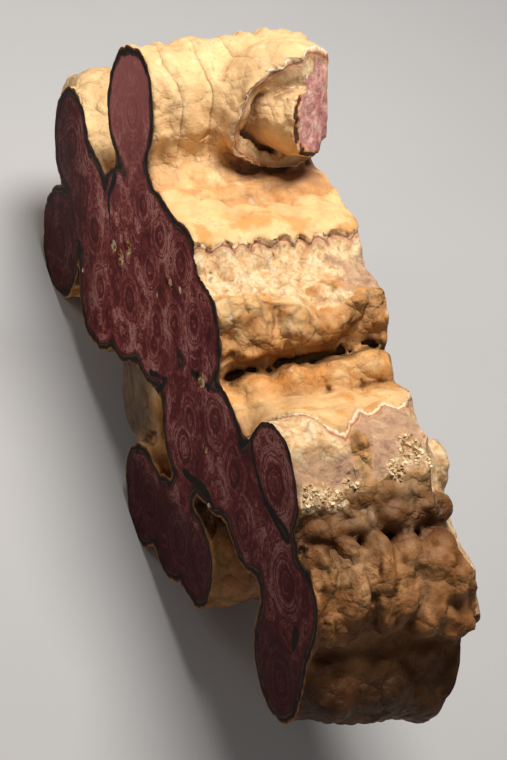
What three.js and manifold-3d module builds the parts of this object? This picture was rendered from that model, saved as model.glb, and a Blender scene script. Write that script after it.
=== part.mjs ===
// A thick slice of a rhodochrosite stalactite cluster, standing on the edges of two of its lobes.
// Stalactites grew side by side until they touched, and one saw cut across them all was polished.
// Millimetres, +Z up. The polished cut faces -Y and the sawn back faces +Y.
// The origin is under the middle of the bounding box, on the floor.
import * as THREE from 'three';
import Module from 'manifold-3d';

// Sizes of the whole slice.
const THICKNESS = 44;
const BACK_LEAN = 0.04;
const FOOT_BEVEL_START = -58;
const FOOT_BEVEL_SLOPE = 0.25;

// How it stands: turned in the plane of the cut, then set down on two worn lobes.
const STAND_TURN = THREE.MathUtils.degToRad(50.85);
const FLOOR_LEVEL = -65.0;
const MIDDLE_X = -15.51;
const MIDDLE_Y = 23.82;

// Net the surface is drawn on, in slice directions: across, deep and up.
const NET_STEP = 3.8;
const NET_LOW = [-119.3, -8.1, -87.1];
const NET_CELLS = [52, 17, 49];
const NET_MARGIN = 0.1;
const SLOPE_REACH = 0.3;
const LONGEST_MOVE = 1;

// Half-size of the blocks that make the saw cuts, well past the slice.
const BEYOND = 300;

// Stalactites as they meet the polished cut: centre across, centre up, radius, lean across and
// lean up for each mm of depth, rib height, rib spacing, rib phase, depth where it starts.
// Where two of them meet, the hollow between is filled over about the width of the blend.
const THROUGH = -99;
const TIP_DEPTH = 4;
const CLUSTER_BLEND = 2.0;
const STALACTITES = [
  [-27.5, 70.5, 17.0, 0.00, 0.08, 0.45, 7.5, 0.3, THROUGH],
  [-78.5, 68.5, 14.6, 0.03, 0.12, 0.5, 9.0, 1.0, THROUGH],
  [-84.0, 72.0, 17.0, 0.00, 0.02, 0.5, 9.0, 0.3, 1.0],
  [-96.0, 41.0, 16.5, 0.00, 0.00, 0.6, 10.0, 2.0, THROUGH],
  [-64.0, 26.0, 17.5, 0.00, -0.04, 0.6, 11.0, 0.0, THROUGH],
  [-45.0, 24.0, 18.0, 0.00, -0.05, 0.6, 9.0, 0.7, THROUGH],
  [-68.0, 50.0, 15.5, 0.00, 0.00, 0.0, 9.0, 0.0, THROUGH],
  [-43.0, 46.0, 11.8, 0.00, 0.06, 0.5, 8.0, 0.0, THROUGH],
  [-26.0, 50.0, 9.5, 0.00, 0.00, 0.3, 8.0, 0.0, THROUGH],
  [-20.0, 34.0, 16.0, 0.05, 0.05, 0.4, 11.0, 1.5, THROUGH],
  [-4.5, 23.0, 16.0, 0.03, 0.03, 0.3, 10.0, 0.4, THROUGH],
  [8.5, 11.0, 13.8, 0.05, 0.00, 0.5, 10.0, 2.2, THROUGH],
  [-26.0, 12.0, 13.0, 0.00, 0.00, 0.0, 9.0, 0.0, THROUGH],
  [-15.0, 3.5, 8.5, 0.00, 0.00, 0.0, 9.0, 0.0, THROUGH],
  [-11.5, -29.5, 6.5, 0.00, 0.00, 0.0, 9.0, 0.0, THROUGH],
  [-34.0, 39.5, 7.5, 0.00, 0.02, 0.0, 9.0, 0.0, THROUGH],
  [-4.5, -12.5, 16.6, -0.02, 0.00, 0.4, 9.0, 0.9, THROUGH],
  [14.0, -17.5, 16.6, 0.03, 0.02, 0.3, 9.5, 1.3, THROUGH],
  [45.0, -24.0, 15.3, 0.02, 0.00, 0.4, 9.0, 0.2, THROUGH],
  [30.0, -17.5, 11.0, 0.02, 0.00, 0.3, 9.0, 0.0, 3.0],
  [31.0, -32.0, 14.0, 0.00, 0.00, 0.4, 9.0, 2.6, THROUGH],
  [49.5, -49.0, 15.2, 0.06, 0.00, 0.8, 8.8, 0.5, THROUGH],
  [42.0, -65.0, 14.3, 0.04, -0.12, 0.4, 12.0, 1.8, THROUGH],
  [-41.0, -31.0, 13.6, -0.01, 0.00, 0.5, 9.0, 0.6, THROUGH],
  [-23.0, -39.0, 13.0, 0.00, -0.02, 0.5, 10.0, 1.1, THROUGH],
  [-7.0, -45.0, 12.8, 0.02, 0.00, 0.5, 9.0, 2.1, THROUGH],
  [-48.0, -3.0, 15.0, -0.02, 0.00, 0.3, 9.0, 0.0, 1.5],
  [-27.5, -13.0, 12.5, 0.00, 0.00, 0.3, 9.0, 0.0, 8.0],
];

// Large lumps of the rind: centre across, deep and up, then the three radii.
const LUMP_BLEND = 1.92;
const LUMP_REACH = 6;
const LUMPS = [
  [16.0, 6.0, 8.5, 7, 6, 8],
  [17.5, 13.0, 6.0, 7, 6, 7],
  [18.5, 20.5, 12.0, 7.5, 7, 8],
  [18.0, 28.0, 9.0, 7, 6, 7],
  [19.5, 34.5, 13.5, 7, 6.5, 7],
  [19.0, 41.0, 10.5, 7, 5.5, 6.5],
  [15.0, 12.0, -4.0, 7, 7, 6],
  [17.0, 22.0, -2.5, 8, 6, 7],
  [19.0, 31.0, -0.5, 8, 6.5, 6],
  [20.0, 40.0, 0.0, 8, 5.5, 6.5],
  [59.0, 3.5, -48.5, 7, 4.4, 11],
  [59.5, 10.0, -49.0, 7.5, 4.6, 11.5],
  [60.0, 17.5, -48.5, 8, 4.8, 11.5],
  [60.0, 24.5, -50.0, 7.5, 4.2, 10],
  [60.0, 31.0, -44.0, 8, 7.5, 6.5],
  [61.0, 36.0, -49.0, 8, 6, 7],
  [60.5, 28.0, -55.0, 7.5, 5.5, 6],
  [60.5, 35.0, -58.0, 7, 5.5, 6],
  [49.0, 8.0, -71.0, 8, 8, 8],
  [49.0, 20.0, -72.5, 8, 7, 8],
  [49.0, 30.0, -72.0, 7.5, 7, 7],
];

// Lumps that still stand below the broken walls of the third tier.
const WALL_LUMPS = [
  [55.0, 5.0, -28.0, 6, 5, 5.5],
  [55.0, 11.5, -30.0, 6, 5, 5.5],
  [55.5, 18.5, -27.5, 6.5, 6, 6],
  [56.0, 27.0, -27.5, 6.5, 5.5, 5.5],
  [56.0, 34.0, -25.0, 6, 5, 5],
  [55.5, 41.0, -27.0, 6, 5, 5],
  [55.0, 6.0, -34.5, 6.5, 5, 4.5],
  [56.0, 15.0, -34.5, 6, 5.5, 4.5],
  [56.5, 24.0, -33.0, 6, 5.5, 4.5],
  [57.0, 32.0, -32.0, 6, 5, 4.5],
  [56.5, 39.0, -33.0, 6, 5, 4.5],
  [54.5, 36.0, -19.0, 5, 4.5, 4],
  [53.5, 30.0, -17.5, 4.5, 4, 3.5],
];

// Broken hollows: centre across, deep and up, and the radius of the ball that bounds the hollow.
const WALL_SCARS = [
  [84.5, 8.0, -14.0, 28.0],
  [82.0, 27.0, -6.0, 27.0],
];
const BACK_BREAKS = [
  [62.0, 70.0, 0.0, 39.0],
  [78.0, 68.0, -22.0, 39.5],
  [84.0, 72.0, -52.0, 37.3],
  [74.0, 78.0, -70.0, 38.0],
];

// The broken band of the second tier is a shallow flute that runs with the depth.
const FLUTE_RADIUS = 24;
const FLUTE_DEPTH = 0.6;
const FLUTE_PLACE = [12.6, 26.0];
const FLUTE_FACING = [0.79, 0.61];

// Deep clefts between the tiers: both ends across, deep and up, and the radius.
const CLEFTS = [
  [[21.5, 3.0, 0.5], [26.0, 46.0, 7.5], 4.2],
  [[60.5, 1.0, -39.0], [64.5, 46.0, -37.0], 4.2],
  [[59.0, 4.0, -62.5], [63.5, 46.0, -63.5], 3.6],
];
const CLEFT_BLEND = 1.5;

// Knobbly skin of the rind and the rougher grain of broken places: cell sizes and height, with
// the part of a cell that a bump spreads over.
const KNOBS = { cell: [12, 8, 12], height: 1.5 };
const KNOB_SINK = 0.5;
const GRAIN = { cell: [5.5, 5, 5.5], height: 1.1 };
const BUMP_SPREAD = 0.85;

// The broken side branch on the crown: where it starts, where it points, which way it gapes.
const BRANCH_ROOT = [-11, 33, 67];
const BRANCH_AXIS = [0.8004, 0.5003, -0.3302];
const BRANCH_MOUTH = [0.2862, -0.8023, -0.5239];
const COAT_RADIUS = 13.0;
const COAT_START = -8;
const CORE_RADIUS = 8.6;
const CORE_START = -12;
const RIM_START = -1.5;
const RIM_RISE = 8;
const GAP_RADIUS = 9.8;
const GAP_HALF_WIDTH = 1.4;
const GAP_DEPTH = 3.5;
const HOOD_BLEND = 4;
const HEAD_BLEND = 1.5;
const CORE_BLEND = 0.8;
const HOOD_CENTRE = [-10, 36.5, 77];
const HOOD_RADII = [13.5, 14, 9.5];
const BRANCH_END = [-0.6, 40, 66];
const BRANCH_END_NORMAL = [0.8, 0.58, -0.12];
const CROWN_LOWEST = 40;
const CROWN_ACROSS = -15;
const CROWN_HALF_WIDTH = 40;

const dot = (a, b) => a[0] * b[0] + a[1] * b[1] + a[2] * b[2];
const minus = (a, b) => [a[0] - b[0], a[1] - b[1], a[2] - b[2]];
const clamp = (value, low, high) => Math.min(Math.max(value, low), high);

// Repeatable scatter: three numbers from 0 to 1 for every cell of a unit grid.
function scatter(i, j, k) {
  const seed = Math.imul(i, 73856093) ^ Math.imul(j, 19349663) ^ Math.imul(k, 83492791);
  return [0x9e3779b1, 0x85ebca6b, 0xc2b2ae35].map((salt) => {
    let mixed = Math.imul(seed ^ (seed >>> 13), salt);
    mixed = Math.imul(mixed ^ (mixed >>> 15), 0x27d4eb2f);
    mixed ^= mixed >>> 16;
    return (mixed & 0xffffff) / 0x1000000;
  });
}

// Height of the rounded bump that covers a point, highest over the nearest scattered seed.
function bump(point, skin) {
  const p = point.map((value, axis) => value / skin.cell[axis]);
  const [i0, j0, k0] = p.map(Math.floor);
  let nearest = Infinity;
  for (let i = i0 - 1; i <= i0 + 1; i += 1) {
    for (let j = j0 - 1; j <= j0 + 1; j += 1) {
      for (let k = k0 - 1; k <= k0 + 1; k += 1) {
        const [a, b, c] = scatter(i, j, k);
        nearest = Math.min(nearest, Math.hypot(i + a - p[0], j + b - p[1], k + c - p[2]));
      }
    }
  }
  const reach = Math.min(nearest / BUMP_SPREAD, 1);
  return skin.height * (1 - reach * reach);
}

// The measures below are negative in the stone and positive outside, in mm near the surface.
function softMin(a, b, width) {
  const h = clamp(0.5 + 0.5 * (b - a) / width, 0, 1);
  return b * (1 - h) + a * h - width * h * (1 - h);
}

function ellipsoid(point, centre, radii) {
  const p = point.map((value, axis) => (value - centre[axis]) / radii[axis]);
  return (Math.hypot(...p) - 1) * Math.min(...radii);
}

function cluster([across, deep, up]) {
  let total = 0;
  for (const [cx, cz, radius, leanX, leanZ, rib, pitch, phase, start] of STALACTITES) {
    const q = Math.hypot(across - cx - leanX * deep, up - cz - leanZ * deep);
    const turns = deep / pitch + 0.25 * Math.sin(deep / 6 + phase);
    let distance = q - radius - rib * Math.sin(2 * Math.PI * turns + phase);
    if (start > THROUGH) {
      const short = Math.max(start + TIP_DEPTH - deep, 0) * radius / TIP_DEPTH;
      distance = Math.hypot(q, short) - radius;
    }
    total += Math.exp(clamp(-distance / CLUSTER_BLEND, -60, 60));
  }
  return -CLUSTER_BLEND * Math.log(total + 1e-30);
}

function withLumps(point, before, lumps) {
  let distance = before;
  for (const [cx, cy, cz, ...radii] of lumps) {
    const off = minus(point, [cx, cy, cz]);
    const near = off.every((value, axis) => Math.abs(value) < radii[axis] + LUMP_REACH);
    if (near) {
      distance = softMin(distance, ellipsoid(point, [cx, cy, cz], radii), LUMP_BLEND);
    }
  }
  return distance;
}

function withHollows(point, before, hollows, grain) {
  let distance = before;
  for (const [cx, cy, cz, radius] of hollows) {
    const gone = radius - Math.hypot(...minus(point, [cx, cy, cz]));
    distance = Math.max(distance, gone - grain);
  }
  return distance;
}

function cleft(point, [from, to, radius]) {
  const along = minus(to, from);
  const reach = minus(point, from);
  const t = clamp(dot(reach, along) / dot(along, along), 0, 1);
  return Math.hypot(...minus(reach, along.map((value) => value * t))) - radius;
}

// The side branch: a hooded coat broken open on the near side, with the core free in its mouth.
function withBranch(point, before) {
  const p = minus(point, BRANCH_ROOT);
  const s = dot(p, BRANCH_AXIS);
  const w = minus(p, BRANCH_AXIS.map((value) => value * s));
  const q = Math.hypot(...w);
  const facing = dot(w, BRANCH_MOUTH) / (q + 1e-6);
  const end = dot(minus(point, BRANCH_END), BRANCH_END_NORMAL);
  const coat = Math.max(q - COAT_RADIUS, COAT_START - s);
  const hood = ellipsoid(point, HOOD_CENTRE, HOOD_RADII);
  const rim = RIM_START + RIM_RISE * (1 - facing);
  const mouth = Math.max(CORE_RADIUS - q, (rim - s) * 0.6);
  const head = Math.max(softMin(coat, hood, HOOD_BLEND), -mouth, end);
  const slot = Math.abs(q - GAP_RADIUS) - GAP_HALF_WIDTH;
  const gap = Math.max(slot, rim - GAP_DEPTH - s, (0.1 - facing) * GAP_RADIUS);
  const opened = Math.max(softMin(before, head, HEAD_BLEND), -gap);
  const core = Math.max(q - CORE_RADIUS, CORE_START - s, end);
  return softMin(opened, core, CORE_BLEND);
}

function stone(point) {
  const [across, , up] = point;
  const grain = bump(point, GRAIN);
  let distance = withLumps(point, cluster(point), LUMPS);
  distance += KNOB_SINK - bump(point, KNOBS);
  const axis = FLUTE_PLACE.map((value, n) => value + FLUTE_FACING[n] * (FLUTE_RADIUS - FLUTE_DEPTH));
  const flute = FLUTE_RADIUS - Math.hypot(across - axis[0], up - axis[1]);
  distance = Math.max(distance, flute - grain);
  distance = withHollows(point, distance, WALL_SCARS, grain);
  distance = withLumps(point, distance, WALL_LUMPS);
  distance = withHollows(point, distance, BACK_BREAKS, grain);
  for (const line of CLEFTS) {
    distance = -softMin(-distance, cleft(point, line), CLEFT_BLEND);
  }
  const onCrown = up > CROWN_LOWEST && Math.abs(across - CROWN_ACROSS) < CROWN_HALF_WIDTH;
  return onCrown ? withBranch(point, distance) : distance;
}

// The grid that the net is drawn on: its corners, numbered, and the eight corners of a cell.
const [NX, NY, NZ] = NET_CELLS;
const CORNERS = [[0, 0, 0], [1, 0, 0], [0, 1, 0], [1, 1, 0], [0, 0, 1], [1, 0, 1], [0, 1, 1], [1, 1, 1]];
const CELL_EDGES = [
  [0, 1], [2, 3], [4, 5], [6, 7],
  [0, 2], [1, 3], [4, 6], [5, 7],
  [0, 4], [1, 5], [2, 6], [3, 7],
];
const CELL_SIDES = [[0, 1, 2, 3], [0, 1, 4, 5], [0, 2, 4, 6]];
const CELL_DIAGONALS = [[0, 7], [1, 6], [2, 5], [4, 3]];

const place = (i, j, k) => [i, j, k].map((count, axis) => NET_LOW[axis] + count * NET_STEP);
const index = (i, j, k) => (i * (NY + 1) + j) * (NZ + 1) + k;
const cellCorners = (i, j, k) => CORNERS.map(([a, b, c]) => index(i + a, j + b, k + c));

function forEachCell(visit) {
  for (let i = 0; i < NX; i += 1) {
    for (let j = 0; j < NY; j += 1) {
      for (let k = 0; k < NZ; k += 1) {
        visit(i, j, k);
      }
    }
  }
}

// The stone measured at every corner, closed off all round past the ends that the saw removes.
function measureStone() {
  const values = new Float64Array((NX + 1) * (NY + 1) * (NZ + 1)).fill(NET_STEP);
  forEachCell((i, j, k) => {
    if (i > 0 && j > 0 && k > 0) {
      values[index(i, j, k)] = stone(place(i, j, k));
    }
  });
  return values;
}

// Where stone meets stone only across a diagonal of the grid, the smaller gap between is filled,
// so that no cell holds two sheets of the surface.
function joinDiagonals(values) {
  let filled = 1;
  const fill = (corner) => {
    values[corner] = -0.2;
    filled += 1;
  };
  const solidAt = (corner) => values[corner] < 0;
  while (filled > 0) {
    filled = 0;
    forEachCell((i, j, k) => {
      const corner = cellCorners(i, j, k);
      for (const side of CELL_SIDES) {
        const [a, b, c, d] = side.map((n) => corner[n]);
        if (solidAt(a) && solidAt(d) && !solidAt(b) && !solidAt(c)) {
          fill(values[b] < values[c] ? b : c);
        } else if (solidAt(b) && solidAt(c) && !solidAt(a) && !solidAt(d)) {
          fill(values[a] < values[d] ? a : d);
        }
      }
      for (const pair of CELL_DIAGONALS) {
        const ends = pair.map((n) => corner[n]);
        const rest = corner.filter((n) => !ends.includes(n));
        if (ends.every(solidAt) && !rest.some(solidAt)) {
          fill(rest[0]);
        } else if (!ends.some(solidAt) && rest.every(solidAt)) {
          fill(ends[0]);
        }
      }
    });
  }
}

// One point in a cell that the surface passes through: the mean of where it crosses the cell's
// edges, then moved straight towards the surface and kept in the cell.
function surfacePoint(low, v) {
  const sum = [0, 0, 0];
  let crossings = 0;
  for (const [a, b] of CELL_EDGES) {
    if ((v[a] < 0) !== (v[b] < 0)) {
      const t = v[a] / (v[a] - v[b]);
      for (let axis = 0; axis < 3; axis += 1) {
        sum[axis] += CORNERS[a][axis] + t * (CORNERS[b][axis] - CORNERS[a][axis]);
      }
      crossings += 1;
    }
  }
  if (crossings === 0) {
    return null;
  }
  const p = sum.map((value, axis) => low[axis] + NET_STEP * value / crossings);
  const slope = p.map((value, axis) => {
    const step = [0, 0, 0];
    step[axis] = SLOPE_REACH;
    return (stone(minus(p, step.map((n) => -n))) - stone(minus(p, step))) / (2 * SLOPE_REACH);
  });
  const move = clamp(stone(p) / Math.max(dot(slope, slope), 0.5), -LONGEST_MOVE, LONGEST_MOVE);
  return p.map((value, axis) => clamp(
    value - move * slope[axis],
    low[axis] + NET_MARGIN,
    low[axis] + NET_STEP - NET_MARGIN,
  ));
}

// Net of the stone's surface: the points, and a four-sided patch of two triangles round every
// grid edge that the surface crosses.
function growSurface() {
  const values = measureStone();
  joinDiagonals(values);
  const points = [];
  const pointOf = new Map();
  forEachCell((i, j, k) => {
    const v = cellCorners(i, j, k).map((corner) => values[corner]);
    const p = surfacePoint(place(i, j, k), v);
    if (p) {
      pointOf.set(index(i, j, k), points.length);
      points.push(p);
    }
  });
  const triangles = [];
  const patch = (a, b, c, d, flip) => {
    const apart = (m, n) => Math.hypot(...minus(points[m], points[n]));
    const split = apart(a, c) <= apart(b, d) ? [[a, b, c], [a, c, d]] : [[a, b, d], [b, c, d]];
    for (const [l, m, n] of split) {
      triangles.push(...(flip ? [l, n, m] : [l, m, n]));
    }
  };
  forEachCell((i, j, k) => {
    const inside = values[index(i, j, k)] < 0;
    const cell = (a, b, c) => pointOf.get(index(i - a, j - b, k - c));
    if (j > 0 && k > 0 && inside !== values[index(i + 1, j, k)] < 0) {
      patch(cell(0, 1, 1), cell(0, 0, 1), cell(0, 0, 0), cell(0, 1, 0), !inside);
    }
    if (i > 0 && k > 0 && inside !== values[index(i, j + 1, k)] < 0) {
      patch(cell(1, 0, 1), cell(1, 0, 0), cell(0, 0, 0), cell(0, 0, 1), !inside);
    }
    if (i > 0 && j > 0 && inside !== values[index(i, j, k + 1)] < 0) {
      patch(cell(1, 1, 0), cell(0, 1, 0), cell(0, 0, 0), cell(1, 0, 0), !inside);
    }
  });
  return { points, triangles };
}

// From slice directions to the standing pose.
function stand([across, deep, up]) {
  return [
    Math.cos(STAND_TURN) * across - Math.sin(STAND_TURN) * up - MIDDLE_X,
    deep - MIDDLE_Y,
    Math.sin(STAND_TURN) * across + Math.cos(STAND_TURN) * up - FLOOR_LEVEL,
  ];
}

const wasm = await Module();
wasm.setup();

function solid(points, triangles) {
  return new wasm.Manifold(new wasm.Mesh({
    numProp: 3,
    vertProperties: new Float32Array(points.flat()),
    triVerts: new Uint32Array(triangles),
  }));
}

// A block between two quads, both anticlockwise as seen from outside the second one.
function block(first, second) {
  const faces = [0, 2, 1, 0, 3, 2, 4, 5, 6, 4, 6, 7];
  for (let i = 0; i < 4; i += 1) {
    const next = (i + 1) % 4;
    faces.push(i, next, next + 4, i, next + 4, i + 4);
  }
  return solid([...first, ...second], faces);
}

const square = [[-1, -1], [1, -1], [1, 1], [-1, 1]].map(([a, b]) => [a * BEYOND, b * BEYOND]);
const level = (height) => square.map(([x, y]) => [x, y, height]);
const acrossSlice = (deepAt) => square.map(([across, up]) => stand([across, deepAt(up), up]));

// The saw cuts: everything before the polished cut, everything behind the sawn back, the bevel
// on the back of the foot, and the little that is worn off where two lobes meet the floor.
const beforeCut = block(acrossSlice(() => 0), acrossSlice(() => -BEYOND));
const backAt = (up) => THICKNESS + BACK_LEAN * up;
const bevelAt = (up) => backAt(up) + FOOT_BEVEL_SLOPE * (up - FOOT_BEVEL_START);
const behindBack = block(acrossSlice(() => BEYOND), acrossSlice(backAt));
const behindBevel = block(acrossSlice(() => BEYOND), acrossSlice(bevelAt));
const belowFloor = block(level(-BEYOND), level(0));

const grown = growSurface();
const slice = solid(grown.points.map(stand), grown.triangles)
  .subtract(beforeCut)
  .subtract(behindBack)
  .subtract(behindBevel)
  .subtract(belowFloor);

const cut = slice.getMesh();
const geometry = new THREE.BufferGeometry();
geometry.setAttribute('position', new THREE.BufferAttribute(new Float32Array(cut.vertProperties), 3));
geometry.setIndex(Array.from(cut.triVerts));
const faceted = geometry.toNonIndexed();
faceted.computeVertexNormals();
const material = new THREE.MeshStandardMaterial({
  name: 'stone',
  color: 0xc79a68,
  roughness: 0.8,
  metalness: 0,
});
const mesh = new THREE.Mesh(faceted, material);
mesh.name = 'rhodochrosite_slice';

const part = new THREE.Group();
part.name = 'slice';
part.add(mesh);
export default part;
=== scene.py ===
import math

import bpy
import numpy as np
from mathutils import Matrix, Vector


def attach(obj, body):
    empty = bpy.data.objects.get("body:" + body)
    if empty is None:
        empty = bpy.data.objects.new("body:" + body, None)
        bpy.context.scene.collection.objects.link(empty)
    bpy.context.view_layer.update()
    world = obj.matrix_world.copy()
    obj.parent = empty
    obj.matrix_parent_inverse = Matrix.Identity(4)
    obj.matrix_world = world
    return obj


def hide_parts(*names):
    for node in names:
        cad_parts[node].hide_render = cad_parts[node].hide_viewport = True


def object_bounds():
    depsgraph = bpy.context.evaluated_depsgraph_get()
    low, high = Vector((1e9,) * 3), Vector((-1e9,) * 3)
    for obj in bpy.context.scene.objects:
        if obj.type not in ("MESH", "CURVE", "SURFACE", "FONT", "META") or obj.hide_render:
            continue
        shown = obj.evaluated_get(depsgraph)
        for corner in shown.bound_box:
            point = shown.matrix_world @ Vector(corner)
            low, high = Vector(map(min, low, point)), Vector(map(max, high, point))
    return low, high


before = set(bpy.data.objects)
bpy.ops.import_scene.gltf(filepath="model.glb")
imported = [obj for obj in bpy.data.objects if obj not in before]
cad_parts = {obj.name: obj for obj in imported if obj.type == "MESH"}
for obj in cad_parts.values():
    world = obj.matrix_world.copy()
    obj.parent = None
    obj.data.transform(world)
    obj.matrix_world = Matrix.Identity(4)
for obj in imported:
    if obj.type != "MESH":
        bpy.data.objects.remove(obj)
cad_low, cad_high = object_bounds()

# The slice: a cluster of rhodochrosite stalactites that grew side by side and fused, with a tan
# botryoidal rind. It was sawn across twice and polished on one side, and pieces of its right
# flank have broken off. Sizes are in millimetres: across and up on the cut, and deep behind it.
THICKNESS = 44.0
BACK_LEAN = 0.04
FOOT_BEVEL_START = -58.0
FOOT_BEVEL_SLOPE = 0.25
STAND_TURN = math.radians(50.85)
FLOOR_LEVEL = -65.0
MIDDLE_X = -15.51
MIDDLE_Y = 23.82
NET_STEP = 1.0
NET_ACROSS = (-121.0, 72.0)
NET_UP = (-89.0, 95.0)
NET_LAYERS = 44
OUTSIDE = 5.0
INSIDE = -5.0
COARSE_BAND = 9.0
CROWN_BAND = 16.0
FINE_BAND = 4.4
JOINED = -0.05

# Each stalactite: centre across and up, radius, lean across and up, height and spacing of its
# ribs, where they begin, and the depth at which it starts, unless it goes right through.
TIP_DEPTH = 4.0
CLUSTER_BLEND = 2.0
RIB_WOBBLE = 0.25
RIB_WOBBLE_LENGTH = 6.0
STALACTITES = (
    (-27.5, 70.5, 17.0, 0.00, 0.08, 0.45, 7.5, 0.3),
    (-78.5, 68.5, 14.6, 0.03, 0.12, 0.5, 9.0, 1.0),
    (-96.0, 41.0, 16.5, 0.00, 0.00, 0.6, 10.0, 2.0),
    (-64.0, 26.0, 17.5, 0.00, -0.04, 0.6, 11.0, 0.0),
    (-45.0, 24.0, 18.0, 0.00, -0.05, 0.6, 9.0, 0.7),
    (-68.0, 50.0, 15.5, 0.00, 0.00, 0.0, 9.0, 0.0),
    (-43.0, 46.0, 11.8, 0.00, 0.06, 0.5, 8.0, 0.0),
    (-26.0, 50.0, 9.5, 0.00, 0.00, 0.3, 8.0, 0.0),
    (-20.0, 34.0, 16.0, 0.05, 0.05, 0.4, 11.0, 1.5),
    (-4.5, 23.0, 16.0, 0.03, 0.03, 0.3, 10.0, 0.4),
    (8.5, 11.0, 13.8, 0.05, 0.00, 0.5, 10.0, 2.2),
    (-26.0, 12.0, 13.0, 0.00, 0.00, 0.0, 9.0, 0.0),
    (-4.5, -12.5, 16.6, -0.02, 0.00, 0.4, 9.0, 0.9),
    (14.0, -17.5, 16.6, 0.03, 0.02, 0.3, 9.5, 1.3),
    (45.0, -24.0, 15.3, 0.02, 0.00, 0.4, 9.0, 0.2),
    (31.0, -32.0, 14.0, 0.00, 0.00, 0.4, 9.0, 2.6),
    (49.5, -49.0, 15.2, 0.06, 0.00, 0.8, 8.8, 0.5),
    (42.0, -65.0, 14.3, 0.04, -0.12, 0.4, 12.0, 1.8),
    (-41.0, -31.0, 13.6, -0.01, 0.00, 0.5, 9.0, 0.6),
    (-23.0, -39.0, 13.0, 0.00, -0.02, 0.5, 10.0, 1.1),
    (-7.0, -45.0, 12.8, 0.02, 0.00, 0.5, 9.0, 2.1),
    (-27.5, -13.0, 12.5, 0.00, 0.00, 0.3, 9.0, 0.0, 8.0),
    (-48.0, -3.0, 15.0, -0.02, 0.00, 0.3, 9.0, 0.0, 1.5),
    (30.0, -17.5, 11.0, 0.02, 0.00, 0.3, 9.0, 0.0, 3.0),
    (-84.0, 72.0, 17.0, 0.00, 0.02, 0.5, 9.0, 0.3, 1.0),
    (-11.5, -29.5, 6.5, 0.00, 0.00, 0.0, 9.0, 0.0),
    (-34.0, 39.5, 7.5, 0.00, 0.02, 0.0, 9.0, 0.0),
    (-15.0, 3.5, 8.5, 0.00, 0.00, 0.0, 9.0, 0.0),
)


def soft_min(a, b, blend):
    """The smaller of two distances, rounded where they are close, as two grown forms fuse."""
    share = np.clip(0.5 + 0.5 * (b - a) / blend, 0, 1)
    return b * (1 - share) + a * share - blend * share * (1 - share)


def cluster(x, y, z):
    """How far a point lies outside the fused stalactites."""
    total = np.zeros_like(x)
    for across, up, radius, lean_x, lean_z, rib, spacing, phase, *start in STALACTITES:
        out = np.hypot(x - across - lean_x * y, z - up - lean_z * y)
        if start:
            tip = np.maximum(start[0] + TIP_DEPTH - y, 0.0) * radius / TIP_DEPTH
            out = np.hypot(out, tip) - radius
        else:
            wobble = RIB_WOBBLE * np.sin(y / RIB_WOBBLE_LENGTH + phase)
            turn = 2 * np.pi * (y / spacing + wobble) + phase
            out = out - radius - rib * np.sin(turn)
        total += np.exp(np.clip(-out / CLUSTER_BLEND, -60, 60))
    return -CLUSTER_BLEND * np.log(total + 1e-30)


# The lumps that sit on the flank: centre across, deep and up, and radius across, deep and up.
LUMP_BLEND = 1.92
FINE_LUMP_BLEND = 0.8
LUMP_REACH = 6.0
LUMPS = (
    (16.0, 6.0, 8.5, 7.0, 6.0, 8.0),
    (17.5, 13.0, 6.0, 7.0, 6.0, 7.0),
    (18.5, 20.5, 12.0, 7.5, 7.0, 8.0),
    (18.0, 28.0, 9.0, 7.0, 6.0, 7.0),
    (19.5, 34.5, 13.5, 7.0, 6.5, 7.0),
    (19.0, 41.0, 10.5, 7.0, 5.5, 6.5),
    (15.0, 12.0, -4.0, 7.0, 7.0, 6.0),
    (17.0, 22.0, -2.5, 8.0, 6.0, 7.0),
    (19.0, 31.0, -0.5, 8.0, 6.5, 6.0),
    (20.0, 40.0, 0.0, 8.0, 5.5, 6.5),
    (59.0, 3.5, -48.5, 7.0, 4.4, 11.0),
    (59.5, 10.0, -49.0, 7.5, 4.6, 11.5),
    (60.0, 17.5, -48.5, 8.0, 4.8, 11.5),
    (60.0, 24.5, -50.0, 7.5, 4.2, 10.0),
    (60.0, 31.0, -44.0, 8.0, 7.5, 6.5),
    (61.0, 36.0, -49.0, 8.0, 6.0, 7.0),
    (60.5, 28.0, -55.0, 7.5, 5.5, 6.0),
    (60.5, 35.0, -58.0, 7.0, 5.5, 6.0),
    (49.0, 8.0, -71.0, 8.0, 8.0, 8.0),
    (49.0, 20.0, -72.5, 8.0, 7.0, 8.0),
    (49.0, 30.0, -72.0, 7.5, 7.0, 7.0),
)
WALL_LUMPS = (
    (55.0, 5.0, -28.0, 6.0, 5.0, 5.5),
    (55.0, 11.5, -30.0, 6.0, 5.0, 5.5),
    (55.5, 18.5, -27.5, 6.5, 6.0, 6.0),
    (56.0, 27.0, -27.5, 6.5, 5.5, 5.5),
    (56.0, 34.0, -25.0, 6.0, 5.0, 5.0),
    (55.5, 41.0, -27.0, 6.0, 5.0, 5.0),
    (55.0, 6.0, -34.5, 6.5, 5.0, 4.5),
    (56.0, 15.0, -34.5, 6.0, 5.5, 4.5),
    (56.5, 24.0, -33.0, 6.0, 5.5, 4.5),
    (57.0, 32.0, -32.0, 6.0, 5.0, 4.5),
    (56.5, 39.0, -33.0, 6.0, 5.0, 4.5),
    (54.5, 36.0, -19.0, 5.0, 4.5, 4.0),
    (53.5, 30.0, -17.5, 4.5, 4.0, 3.5),
    (55.6, 17.5, -21.5, 4.6, 3.2, 8.5),
)
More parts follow.
